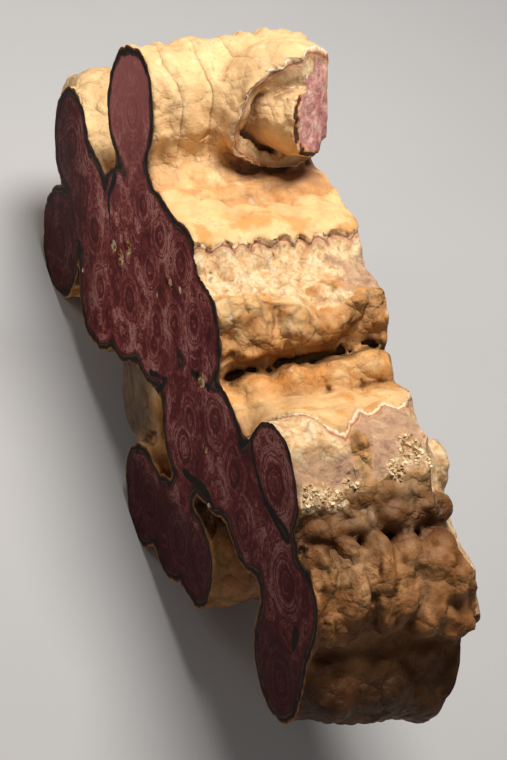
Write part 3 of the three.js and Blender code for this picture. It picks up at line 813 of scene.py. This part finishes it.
class Wire:
    """A socket in a finish, so that sums on it read as plain expressions."""

    def __init__(self, finish, socket):
        self.finish = finish
        self.socket = socket

    def worked(self, operation, *values):
        return self.finish.node("ShaderNodeMath", {"operation": operation}, dict(enumerate(values)))

    def __add__(self, other):
        return self.worked("ADD", self, other)

    def __radd__(self, other):
        return self.worked("ADD", other, self)

    def __sub__(self, other):
        return self.worked("SUBTRACT", self, other)

    def __rsub__(self, other):
        return self.worked("SUBTRACT", other, self)

    def __mul__(self, other):
        return self.worked("MULTIPLY", self, other)

    def __rmul__(self, other):
        return self.worked("MULTIPLY", other, self)

    def __truediv__(self, other):
        return self.worked("DIVIDE", self, other)

    def __rtruediv__(self, other):
        return self.worked("DIVIDE", other, self)

    def __pow__(self, other):
        return self.worked("POWER", self, other)

    def least(self, other):
        return self.worked("MINIMUM", self, other)

    def most(self, other):
        return self.worked("MAXIMUM", self, other)

    def between(self, low, high):
        """0 below low, 1 above high, and a smooth rise between."""
        settings = {"interpolation_type": "SMOOTHSTEP"}
        places = {"Value": self, "From Min": low, "From Max": high}
        return self.finish.node("ShaderNodeMapRange", settings, places)


def tone(red, green, blue):
    """A colour as it is seen on a screen, from 0 to 255, to the light it sends back."""
    seen = [value / 255 for value in (red, green, blue)]
    return tuple(v / 12.92 if v < 0.04045 else ((v + 0.055) / 1.055) ** 2.4 for v in seen) + (1.0,)


class Finish:
    """A material being put together. All its nodes come from one method."""

    def __init__(self, name):
        self.material = bpy.data.materials.new(name)
        self.material.use_nodes = True
        self.tree = self.material.node_tree
        self.surface = self.tree.nodes["Principled BSDF"]

    def feed(self, socket, value):
        if isinstance(value, Wire):
            self.tree.links.new(value.socket, socket)
        else:
            socket.default_value = value

    def node(self, kind, settings=None, places=None, output=0):
        made = self.tree.nodes.new(kind)
        for key, value in (settings or {}).items():
            if key == "stops":
                ramp = made.color_ramp
                while len(ramp.elements) < len(value):
                    ramp.elements.new(0.5)
                for element, (place, colour) in zip(ramp.elements, value):
                    element.position = place
                for element, (place, colour) in zip(ramp.elements, value):
                    element.color = colour
            else:
                setattr(made, key, value)
        for key, value in (places or {}).items():
            self.feed(made.inputs[key], value)
        return Wire(self, made.outputs[output])

    def mark(self, name):
        return self.node("ShaderNodeAttribute", {"attribute_name": name}, output="Fac")

    def vector(self, operation, *values, output=0):
        """Sums on places and directions."""
        settings = {"operation": operation}
        return self.node("ShaderNodeVectorMath", settings, dict(enumerate(values)), output)

    def place(self):
        """The spot on the object, in millimetres."""
        spot = self.node("ShaderNodeTexCoord", output="Object")
        return self.node("ShaderNodeVectorMath", {"operation": "SCALE"}, {0: spot, "Scale": 1000.0})

    def on_slice(self, spot):
        """How far across and how far up on the slice a spot lies, in millimetres."""
        across = self.vector("DOT_PRODUCT", spot, (turn_cos, 0.0, turn_sin), output="Value")
        up = self.vector("DOT_PRODUCT", spot, (-turn_sin, 0.0, turn_cos), output="Value")
        across = across + (turn_cos * MIDDLE_X + turn_sin * FLOOR_LEVEL)
        return across, up - (turn_sin * MIDDLE_X - turn_cos * FLOOR_LEVEL)

    def cloud(self, spot, size, detail=4.0, rough=0.55, output=0):
        """Soft noise from 0 to 1, its patches about size millimetres wide."""
        places = {"Vector": spot, "Scale": 1 / size, "Detail": detail, "Roughness": rough}
        return self.node("ShaderNodeTexNoise", {}, places, output)

    def cells(self, spot, size, feature="F1", output="Distance"):
        places = {"Vector": spot, "Scale": 1 / size}
        return self.node("ShaderNodeTexVoronoi", {"feature": feature}, places, output)

    def blend(self, share, first, second):
        settings = {"data_type": "RGBA", "clamp_factor": True}
        return self.node("ShaderNodeMix", settings, {0: share, 6: first, 7: second}, output=2)

    def over(self, colour, *coats):
        """Lays colours over each other in turn, each with its share."""
        for share, coat in coats:
            colour = self.blend(share, colour, coat)
        return colour

    def ramp(self, value, *stops):
        """A run of colours: the place of each from 0 to 1, and its red, green and blue."""
        stops = [(place, tone(*colour)) for place, *colour in stops]
        return self.node("ShaderNodeValToRGB", {"stops": stops}, {0: value})

    def relief(self, height, distance, strength=1.0, normal=None):
        places = {"Height": height, "Distance": distance / 1000, "Strength": strength}
        if normal is not None:
            places["Normal"] = normal
        return self.node("ShaderNodeBump", {}, places)

    def wear(self, **sockets):
        for name, value in sockets.items():
            self.feed(self.surface.inputs[name.replace("_", " ")], value)
        return self.material


# The rind: cream and tan where it is smooth, orange on the knobs, and browner towards the foot,
# partly its own colour and partly painted shade. The creases and hollows are darkened with
# painted shade. Its knobs and beads are domes, and the crown has rings.
rind = Finish("grown_rind")
spot = rind.place()
small, wide, is_torn, from_lip, torn_tone, is_cream, is_warm, is_crust, has_rings = (
    rind.mark(name) for name in (
        "hollow_small", "hollow_wide", "torn", "from_lip", "torn_tone", "cream", "warm", "crust",
        "ringed_here",
    )
)
is_lumpy = rind.mark("lumpy") * (1 - is_torn)
aside, height = rind.on_slice(spot)
patches = rind.cloud(spot, 17.0, 5.0)
mottle = rind.cloud(spot, 4.5, 6.0, 0.62)
speckle = rind.cloud(spot, 1.1, 3.0)
stain = rind.cloud(spot, 9.0, 6.0, 0.7)
orange = rind.cloud(spot, 8.0, 3.0).between(0.50, 0.66)
purple_stain = stain.between(0.56, 0.70) * speckle.between(0.40, 0.60)
dirt = speckle.between(0.60, 0.74) * patches.between(0.40, 0.62)
# Darker towards the foot: partly the rind's own brown and partly painted shade, as the lower tiers
# get less light.
low = 1 - height.between(-60.0, 12.0)
low_colour = rind.blend(patches.between(0.40, 0.60), tone(112, 64, 30), tone(158, 102, 58))
foot = 1 - height.between(-74.0, -56.0)
foot_colour = rind.blend(stain.between(0.46, 0.64), tone(38, 19, 7), tone(92, 54, 26))
# The lumps of the third tier: partly their own brown and partly painted shade under the tier above.
third_lumps = height.between(-43.0, -36.0) * (1 - height.between(-30.0, -18.0)) * (1 - is_torn)
second_lumps = height.between(2.0, 8.0) * (1 - height.between(14.0, 22.0)) * (1 - is_torn)
pale_knob = rind.cloud(spot, 6.0, 2.0).between(0.64, 0.72) * (1 - is_cream) * (1 - low)
# Painted shade: the stalactite behind the cut lies in the shade of the block, and its rind is
# painted dark brown for it.
painted_shade_behind_cut = height.between(-22.0, -10.0) * (1 - height.between(2.0, 14.0))
painted_shade_behind_cut = painted_shade_behind_cut * (1 - aside.between(-46.0, -28.0)) + (stain - 0.5) * 0.9

KNOB = 8.5
BEAD = 3.4
stirred = rind.cloud(spot, 7.0, 4.0, output="Color")
stirred = rind.vector("MULTIPLY_ADD", stirred, (5.0, 5.0, 5.0), spot)
knob_edge = rind.cells(stirred, KNOB, "DISTANCE_TO_EDGE") * KNOB
bead_edge = rind.cells(stirred, BEAD, "DISTANCE_TO_EDGE") * BEAD
beads_here = rind.cloud(spot, 13.0, 2.0).between(0.46, 0.58)
knob_out = rind.cells(stirred, KNOB)
bead_out = rind.cells(stirred, BEAD)
knobs = 1 - knob_out * knob_out * 1.6
beads = (1 - bead_out * bead_out * 1.6) * beads_here
ring = rind.node("ShaderNodeMath", {"operation": "PINGPONG"}, {0: rind.mark("ring"), 1: 0.5})
# Painted shade in the creases: the lines between the rings of the crown, the edges between knobs
# and beads, and the hollows of the skin are darkened.
ring_line = (1 - ring.between(0.0, 0.07)) * has_rings * 0.6
lines = (1 - bead_edge.between(0.0, 0.6)) * beads_here * 0.4
lines = ((1 - knob_edge.between(0.0, 1.3)) * 0.55).most(lines)
painted_crease_shade = (small.between(0.10, 0.70) * 0.7).most(wide.between(0.40, 1.0))
painted_crease_shade = painted_crease_shade.most(lines * is_lumpy).most(ring_line)
painted_crease_shade_colour = rind.blend(height.between(20.0, 50.0), tone(84, 50, 26), tone(156, 112, 84))
skin_colour = rind.over(
    rind.ramp(
        patches + (mottle - 0.5) * 0.55,
        (0.30, 160, 106, 60), (0.44, 206, 148, 88), (0.55, 226, 176, 114), (0.70, 242, 210, 156),
    ),
    (is_cream * 0.75, tone(242, 206, 150)),
    (orange * 0.6, tone(208, 134, 56)),
    (purple_stain * 0.55, tone(128, 104, 92)),
    (is_warm * 0.6, tone(222, 152, 82)),
    # Lighter towards the crown: partly the cream of the rind there and partly painted light, as the
    # light falls from above.
    (height.between(35.0, 70.0) * 0.65, tone(246, 212, 160)),
    # Partly painted shade towards the foot.
    (low * 0.8, low_colour),
    # Partly painted shade on the third tier's lumps.
    (third_lumps * 0.65, tone(80, 46, 26)),
    (second_lumps * 0.45, tone(158, 98, 50)),
    # Partly painted shade at the foot.
    (foot * 0.85, foot_colour),
    (pale_knob * 0.5, tone(240, 222, 186)),
    # Painted shade in the creases.
    (painted_crease_shade * 0.8, painted_crease_shade_colour),
    (dirt * 0.5, tone(112, 76, 46)),
    # Painted shade on the stalactite behind the cut.
    (painted_shade_behind_cut.between(0.20, 0.80) * 0.82, tone(38, 22, 12)),
    # Painted shade: the deepest hollows are painted near black.
    (wide.between(0.7, 1.7) * 0.8, tone(34, 22, 14)),
)

# Broken faces: a white lip, a pink line under it, and torn crystal below, cream, grey or pink,
# or the orange underside where the coat of the side branch has peeled off.
fibres = rind.cloud(spot, 3.4, 9.0, 0.75)
drawn_out = rind.vector("MULTIPLY", stirred, (1.0, 1.3, 0.6))
crystal = rind.cells(drawn_out, 2.4, "F1", "Color")
crystal = rind.node("ShaderNodeSeparateColor", {}, {0: crystal})
shards = rind.cells(drawn_out, 3.2)
vein_edge = rind.cells(drawn_out, 4.2, "DISTANCE_TO_EDGE") * 4.2
veins = (1 - vein_edge.between(0.0, 0.5)) * rind.cloud(spot, 5.0, 3.0).between(0.42, 0.58)
cream_torn = rind.ramp(
    fibres * 0.75 + crystal * 0.12 + 0.06,
    (0.32, 196, 146, 104), (0.42, 224, 178, 128), (0.50, 240, 206, 156),
    (0.58, 248, 228, 188), (0.68, 232, 184, 146),
)
grey_torn = rind.ramp(
    fibres * 0.55 + stain * 0.3 + crystal * 0.08 + 0.03,
    (0.34, 146, 110, 94), (0.44, 184, 144, 118), (0.54, 206, 166, 132), (0.66, 232, 202, 164),
)
pink_torn = rind.ramp(
    fibres,
    (0.32, 168, 96, 100), (0.46, 206, 140, 134), (0.58, 236, 190, 176), (0.70, 250, 228, 214),
)
peeled_torn = rind.ramp(
    fibres,
    (0.34, 92, 54, 24), (0.46, 186, 116, 52), (0.58, 226, 164, 92), (0.72, 240, 204, 146),
)
inward = from_lip + (mottle - 0.5) * 0.7
lip = rind.ramp(
    inward * 0.2,
    (0.00, 250, 238, 214), (0.13, 248, 230, 196), (0.19, 226, 178, 134),
    (0.27, 168, 102, 78), (0.34, 224, 178, 138), (0.48, 200, 144, 112),
    (0.60, 232, 196, 150),
)
is_pink = torn_tone.between(0.75, 0.95)
torn_colour = rind.over(
    cream_torn,
    (veins * 0.4, tone(178, 126, 94)),
    (torn_tone.between(0.30, 0.55), grey_torn),
    (is_pink, pink_torn),
    (torn_tone.between(1.1, 1.25), peeled_torn),
    (torn_tone.between(1.4, 1.55), tone(74, 50, 36)),
)
torn_colour = rind.over(
    rind.blend(inward.between(1.6, 3.2).most(is_pink), lip, torn_colour),
    # Painted shade in the hollows of the torn faces, and partly painted shade towards the foot.
    (small.between(0.45, 1.05) * 0.45, tone(120, 80, 56)),
    (low * 0.2, tone(140, 100, 70)),
)
crusted = (is_crust + (fibres - 0.5) * 0.8).between(0.30, 0.60)
crust_colour = rind.blend(speckle.between(0.35, 0.65), tone(176, 134, 92), tone(236, 212, 172))
rind_bump = None
for bump, distance, strength in (
    (fibres * is_torn, 1.6, 0.7),
    ((crystal * 0.4 - shards * 0.8) * is_torn, 0.9, 0.7),
    (mottle, 0.7, 0.4),
    ((knobs + beads * 0.4) * is_lumpy, 2.2, 1.0),
    ((ring * 4.0).least(1.0) ** 0.5 * has_rings, 1.4, 0.9),
    (speckle, 0.25, 0.6),
):
    rind_bump = rind.relief(bump, distance, strength, rind_bump)
rind.wear(
    Base_Color=rind.over(
        skin_colour,
        ((is_torn + (speckle - 0.5) * 0.5).between(0.35, 0.65), torn_colour),
        (crusted * 0.85, crust_colour),
    ),
    Roughness=0.46 + mottle * 0.25 + is_torn * 0.12,
    Specular_IOR_Level=0.25,
    Normal=rind_bump,
)

# The polished cut: wine and raspberry growth rings round many small cores, cut off by a rind of
# black-brown layers. The cores: across and up, and the radius of the first ring.
EYES_STIR = 3.0
EYES = (
    (-26.3, 70.1, 4.5), (-23.6, 45.8, 3.0), (-13.0, 36.9, 3.2), (0.1, 29.0, 3.4),
    (-20.4, 14.1, 3.0), (-8.0, 14.3, 2.6), (5.7, 13.9, 2.8), (15.4, 19.2, 2.6),
    (-23.7, 9.4, 2.4), (-7.9, -17.1, 4.6), (23.9, -22.5, 3.6), (26.4, -34.4, 3.8),
    (49.6, -46.2, 4.4), (47.8, -23.5, 5.0), (-62.5, 64.4, 3.4), (-63.7, 42.2, 3.8),
    (-63.2, 26.7, 3.4), (-39.5, 21.6, 3.6), (-22.3, 28.7, 2.8), (-2.2, -10.1, 3.0),
    (14.5, -9.8, 3.2), (41.9, -69.6, 4.0), (-36.4, -32.3, 4.6), (-16.1, -41.5, 4.0),
    (-96.0, 41.0, 5.0), (-78.0, 68.0, 4.6),
)


def nearest(finish, spot, rows, nudge=0.0):
    """How far outside the nearest of some circles on the cut a spot lies, in millimetres."""
    out = None
    for across, up, radius in rows:
        x, _, z = stand(across, 0, up)
        centre = (x * 1000 + nudge, 0.0, z * 1000 + nudge)
        apart = finish.vector("DISTANCE", spot, centre, output="Value") - radius
        out = apart if out is None else out.least(apart)
    return out


def cut_colour(finish, spot, depth, seam):
    """The rings in the stone, the dark rind round them and the seams folded in, with painted shade
    towards the foot and the left of the cut, and painted light on its upper left lobes.
    """
    flat = finish.vector("MULTIPLY", spot, (1.0, 0.0, 1.0))
    stirred = finish.cloud(spot, 9.0, 3.0, output="Color")
    stirred = finish.vector("MULTIPLY_ADD", stirred, (EYES_STIR, 0.0, EYES_STIR), flat)
    small_eyes = finish.cells(spot, 6.5) * 6.5
    rings = nearest(finish, stirred, EYES, EYES_STIR / 2)
    rings = rings.least(small_eyes - 1.5 + finish.cloud(spot, 22.0, 1.0) * 5.0)
    near_skin = 1 - depth.between(2.2, 6.0)
    settings = {"data_type": "FLOAT", "clamp_factor": True}
    level = finish.node("ShaderNodeMix", settings, {0: near_skin, 2: rings, 3: 7.0 - depth})
    level = level + (finish.cloud(spot, 3.0, 5.0, 0.65) - 0.5) * 2.2
    coarse, bands = (
        finish.node(
            "ShaderNodeTexNoise", {"noise_dimensions": "1D"},
            {"W": width, "Scale": 1.0, "Detail": 2.0},
        ) for width in (level * 0.5, level * 1.9 + 31.0)
    )
    fibre = finish.cloud(spot, 0.9, 4.0)
    cloudy = finish.cloud(spot, 11.0, 4.0)
    strong = 0.35 + cloudy.between(0.40, 0.62) * 0.65
    shade = (coarse - 0.5) * 0.6 + (bands - 0.5) * strong * 0.6
    shade = shade + (fibre - 0.5) * 0.45 + (cloudy - 0.5) * 0.6 + 0.52
    across, up = finish.on_slice(spot)
    # Painted shade: the cut is darkened towards its foot, at its far left and at its lower left,
    # where less light falls.
    painted_falloff_shade = (1 - up.between(-80.0, 55.0)) * 0.78
    painted_falloff_shade = painted_falloff_shade.most((1 - across.between(-88.0, -50.0)) * 0.85)
    painted_falloff_shade = painted_falloff_shade.most((1 - (up + across * 0.45).between(-44.0, -26.0)) * 0.9)
    wine = finish.over(
        finish.ramp(
            shade,
            (0.30, 66, 12, 14), (0.42, 98, 26, 27), (0.51, 126, 45, 44),
            (0.60, 162, 80, 76), (0.72, 208, 146, 136),
        ),
        # Painted shade towards the foot and the left.
        (painted_falloff_shade, tone(46, 9, 11)),
        # Painted light: the upper left lobes of the cut are lighter.
        (up.between(40.0, 85.0) * across.between(-70.0, -40.0) * 0.75, tone(196, 116, 112)),
    )
    thick = 0.75 + finish.cloud(spot, 8.0, 3.0) * 0.7
    edge = depth / thick + (finish.cloud(spot, 2.2, 5.0) - 0.5) * 0.9
    rim = finish.ramp(
        edge * 0.3,
        (0.00, 158, 106, 58), (0.08, 96, 58, 32), (0.20, 36, 22, 14),
        (0.38, 26, 16, 12), (0.47, 92, 68, 46), (0.54, 30, 18, 14),
        (0.70, 84, 40, 36),
    )
    darkened = finish.cloud(spot, 6.0, 2.0).between(0.45, 0.60) * edge.between(0.4, 0.9)
    rim = finish.blend(darkened, rim, tone(30, 18, 13))
    colour = finish.blend(edge.between(1.7, 2.5), rim, wine)
    fold = seam + (finish.cloud(spot, 3.0, 5.0) - 0.5) * 2.6
    inside = finish.ramp(
        fold * 0.25 + 0.6,
        (0.05, 70, 48, 30), (0.30, 28, 18, 12), (0.52, 20, 12, 9), (0.62, 60, 34, 26),
    )
    return finish.blend(1 - fold.between(-0.1, 0.5), colour, inside)


# Small pits on the cut show bright torn crystal: across and up, and radius.
PITS = (
    (-44.8, 33.2, 2.5), (-38.0, 35.6, 2.2), (-49.5, 36.6, 2.0), (-9.3, 24.5, 1.5),
    (7.0, 0.0, 2.0), (-2.0, 22.6, 0.9), (-18.6, 22.1, 0.7), (-77.2, 31.7, 0.8),
    (7.1, -17.3, 0.8), (6.1, -31.1, 0.7), (31.4, -48.5, 0.9),
)

polish = Finish("polished_cut")
spot = polish.place()
depth = polish.mark("under_skin")
seam_near = polish.mark("seam")
haze = polish.cloud(spot, 6.0, 5.0)
pit = nearest(polish, polish.vector("MULTIPLY", spot, (1.0, 0.0, 1.0)), PITS)
pit = 1 - (pit + (polish.cloud(spot, 1.8, 4.0) - 0.5) * 2.4).between(-0.4, 0.1)
torn_pit = polish.ramp(
    polish.cloud(spot, 1.4, 6.0, 0.7),
    (0.36, 84, 44, 22), (0.47, 196, 136, 70), (0.57, 252, 234, 206),
)
polish.wear(
    Base_Color=polish.blend(pit, cut_colour(polish, spot, depth, seam_near), torn_pit),
    Roughness=0.3 + haze * 0.16 + pit * 0.3,
    Specular_IOR_Level=0.015,
    Normal=polish.relief(polish.cloud(spot, 0.5, 2.0) * 0.02 - pit * 0.6, 1.0, 0.6),
)

# The back was only sawn: the same rings under a dull bloom, with the arcs of the blade.
BLADE_CENTRE = (-60.0, 0.0, 420.0)
BLADE_PITCH = 1.3
sawn = Finish("sawn_back")
spot = sawn.place()
depth = sawn.mark("under_skin")
seam_near = sawn.mark("seam")
apart = sawn.vector("DISTANCE", spot, BLADE_CENTRE, output="Value")
arcs = sawn.node("ShaderNodeMath", {"operation": "SINE"}, {0: apart * (2 * math.pi / BLADE_PITCH)})
bloom = sawn.cloud(spot, 12.0, 6.0)
ringed_back = cut_colour(sawn, spot, depth, seam_near)
sawn.wear(
    Base_Color=sawn.blend(0.35 + bloom * 0.25, ringed_back, tone(176, 138, 128)),
    Roughness=0.62 + bloom * 0.2,
    Normal=sawn.relief(arcs * 0.5 + sawn.cloud(spot, 0.8, 3.0), 0.12, 0.5),
)

for finish in (rind, polish, sawn):
    mesh.materials.append(finish.material)
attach(slice_stone, "root")
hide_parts("rhodochrosite_slice")

# The crust: pale crystals, rhombs 0.3 to 0.9 mm on a side, which grew in patches on the torn
# walls after the rind had broken. They are scattered over the patches and stand at all angles.
RHOMB_LEAN = 0.35
PATCH_EDGE = 0.42
patch_mesh = bpy.data.meshes.new("crust_patch")
in_patch = (crust[faces] > PATCH_EDGE).all(1)
used, renumbered = np.unique(faces[in_patch], return_inverse=True)
patch_mesh.from_pydata(standing[used].tolist(), [], renumbered.reshape(-1, 4).tolist())
crystal_crust = bpy.data.objects.new("crystal_crust", patch_mesh)
bpy.context.scene.collection.objects.link(crystal_crust)

crust_finish = Finish("white_crystal")
spot = crust_finish.place()
cloudy = crust_finish.cloud(spot, 2.6, 5.0)
crust_finish.wear(
    Base_Color=crust_finish.ramp(
        cloudy,
        (0.36, 140, 102, 66), (0.48, 206, 172, 124), (0.62, 242, 226, 192),
    ),
    Roughness=0.5 + cloudy * 0.3,
    Normal=crust_finish.relief(crust_finish.cloud(spot, 0.4, 3.0), 0.08, 0.5),
)

tree = bpy.data.node_groups.new("scatter_crystals", "GeometryNodeTree")
tree.interface.new_socket("Patch", in_out="INPUT", socket_type="NodeSocketGeometry")
inputs = {}
for name, kind, value in (
    ("Smallest", "NodeSocketFloat", 0.0003),
    ("Largest", "NodeSocketFloat", 0.0009),
    ("Density", "NodeSocketFloat", 1100000.0),
    ("Seed", "NodeSocketInt", 7),
):
    inputs[tree.interface.new_socket(name, in_out="INPUT", socket_type=kind).identifier] = value
tree.interface.new_socket("Crystals", in_out="OUTPUT", socket_type="NodeSocketGeometry")


class Scatter(Finish):
    """The same way of adding nodes, in a geometry tree."""

    def __init__(self, tree):
        self.tree = tree


grow = Scatter(tree)
given = tree.nodes.new("NodeGroupInput")
patch, smallest, largest, density, seed = (
    Wire(grow, given.outputs[name]) for name in ("Patch", "Smallest", "Largest", "Density", "Seed")
)
spread = grow.node(
    "GeometryNodeDistributePointsOnFaces", {"distribute_method": "RANDOM"},
    {"Mesh": patch, "Density": density, "Seed": seed}, "Points",
)
rhomb = grow.node("GeometryNodeMeshCube", {}, {"Size": (1.0, 1.0, 1.0)}, "Mesh")
corner = grow.node("GeometryNodeInputPosition")
corner_up = grow.node("ShaderNodeSeparateXYZ", {}, {0: corner}, "Z")
lean = grow.node("ShaderNodeCombineXYZ", {}, {0: corner_up * RHOMB_LEAN, 1: corner_up * RHOMB_LEAN})
rhomb = grow.node("GeometryNodeSetPosition", {}, {"Geometry": rhomb, "Offset": lean})
turn = grow.node(
    "FunctionNodeRandomValue", {"data_type": "FLOAT_VECTOR"},
    {0: (0.0, 0.0, 0.0), 1: (6.283, 6.283, 6.283), "Seed": seed},
)
size = grow.node(
    "FunctionNodeRandomValue", {"data_type": "FLOAT"},
    {2: smallest, 3: largest, "Seed": seed + 3.0}, output=1,
)
stood = grow.node(
    "GeometryNodeInstanceOnPoints", {},
    {"Points": spread, "Instance": rhomb, "Rotation": turn, "Scale": size},
)
solid = grow.node("GeometryNodeRealizeInstances", {}, {"Geometry": stood})
places = {"Geometry": solid, "Material": crust_finish.material}
solid = grow.node("GeometryNodeSetMaterial", {}, places)
leaving = tree.nodes.new("NodeGroupOutput")
tree.links.new(solid.socket, leaving.inputs["Crystals"])
scatter = crystal_crust.modifiers.new("scatter_crystals", "NODES")
scatter.node_group = tree
for identifier, value in inputs.items():
    scatter[identifier] = value
bpy.context.view_layer.update()
grown_crust = crystal_crust.evaluated_get(bpy.context.evaluated_depsgraph_get())
crust_mesh = bpy.data.meshes.new_from_object(grown_crust)
crust_mesh.name = "crystal_crust"
crystal_crust.modifiers.remove(scatter)
crystal_crust.data = crust_mesh
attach(crystal_crust, "root")

# The floor, the light and the camera: a pale matt floor, one soft light above the stone and a
# weak fill, and a camera on a 90 mm lens that looks down on the right flank past the cut.
FLOOR_HALF = 3.0
floor_mesh = bpy.data.meshes.new("pale_floor")
corners = [(a * FLOOR_HALF, b * FLOOR_HALF, 0) for a, b in ((-1, -1), (1, -1), (1, 1), (-1, 1))]
floor_mesh.from_pydata(corners, [], [(0, 1, 2, 3)])
pale_floor = bpy.data.objects.new("pale_floor", floor_mesh)
bpy.context.scene.collection.objects.link(pale_floor)
matt = Finish("matt_floor")
spot = matt.place()
matt.wear(
    Base_Color=matt.blend(matt.cloud(spot, 60.0, 3.0), tone(192, 193, 196), tone(198, 199, 202)),
    Roughness=0.9,
)
floor_mesh.materials.append(matt.material)


def soft_light(name, place, size, power, colour):
    """A round light that faces the stone."""
    lamp = bpy.data.lights.new(name, "AREA")
    lamp.shape = "DISK"
    lamp.size = size
    lamp.energy = power
    lamp.color = colour
    light = bpy.data.objects.new(name, lamp)
    light.location = place
    light.rotation_mode = "QUATERNION"
    light.rotation_quaternion = (-light.location).to_track_quat("-Z", "Y")
    bpy.context.scene.collection.objects.link(light)


soft_light("key_light", (-0.08, 0.03, 0.52), 0.22, 2.85, (1.0, 0.95, 0.88))
soft_light("fill_light", (-0.35, -0.4, 0.3), 0.2, 0.35, (1.0, 0.95, 0.9))
world = bpy.data.worlds.new("studio")
world.use_nodes = True
background = world.node_tree.nodes["Background"].inputs
background["Color"].default_value = (1.0, 0.98, 0.95, 1.0)
background["Strength"].default_value = 0.13
bpy.context.scene.world = world
bpy.context.scene.view_settings.view_transform = "Standard"

# The camera's place and axes are given on the slice, where they were measured.
CAMERA_PLACE = (442.49, -172.81, 14.74)
CAMERA_UP = (0.0, 0.085, 0.9964)
CAMERA_BACK = (0.9183, -0.3944, 0.0336)
lens = bpy.data.cameras.new("photo_camera")
lens.lens = 90.0
lens.sensor_width = 36.0
lens.clip_start = 0.01
lens.clip_end = 20.0
photo_camera = bpy.data.objects.new("photo_camera", lens)
up, behind = (Vector(turned(*axis)).normalized() for axis in (CAMERA_UP, CAMERA_BACK))
right = up.cross(behind).normalized()
up = behind.cross(right).normalized()
facing = Matrix((right, up, behind)).transposed().to_4x4()
photo_camera.matrix_world = Matrix.Translation(stand(*CAMERA_PLACE)) @ facing
bpy.context.scene.collection.objects.link(photo_camera)
bpy.context.scene.camera = photo_camera
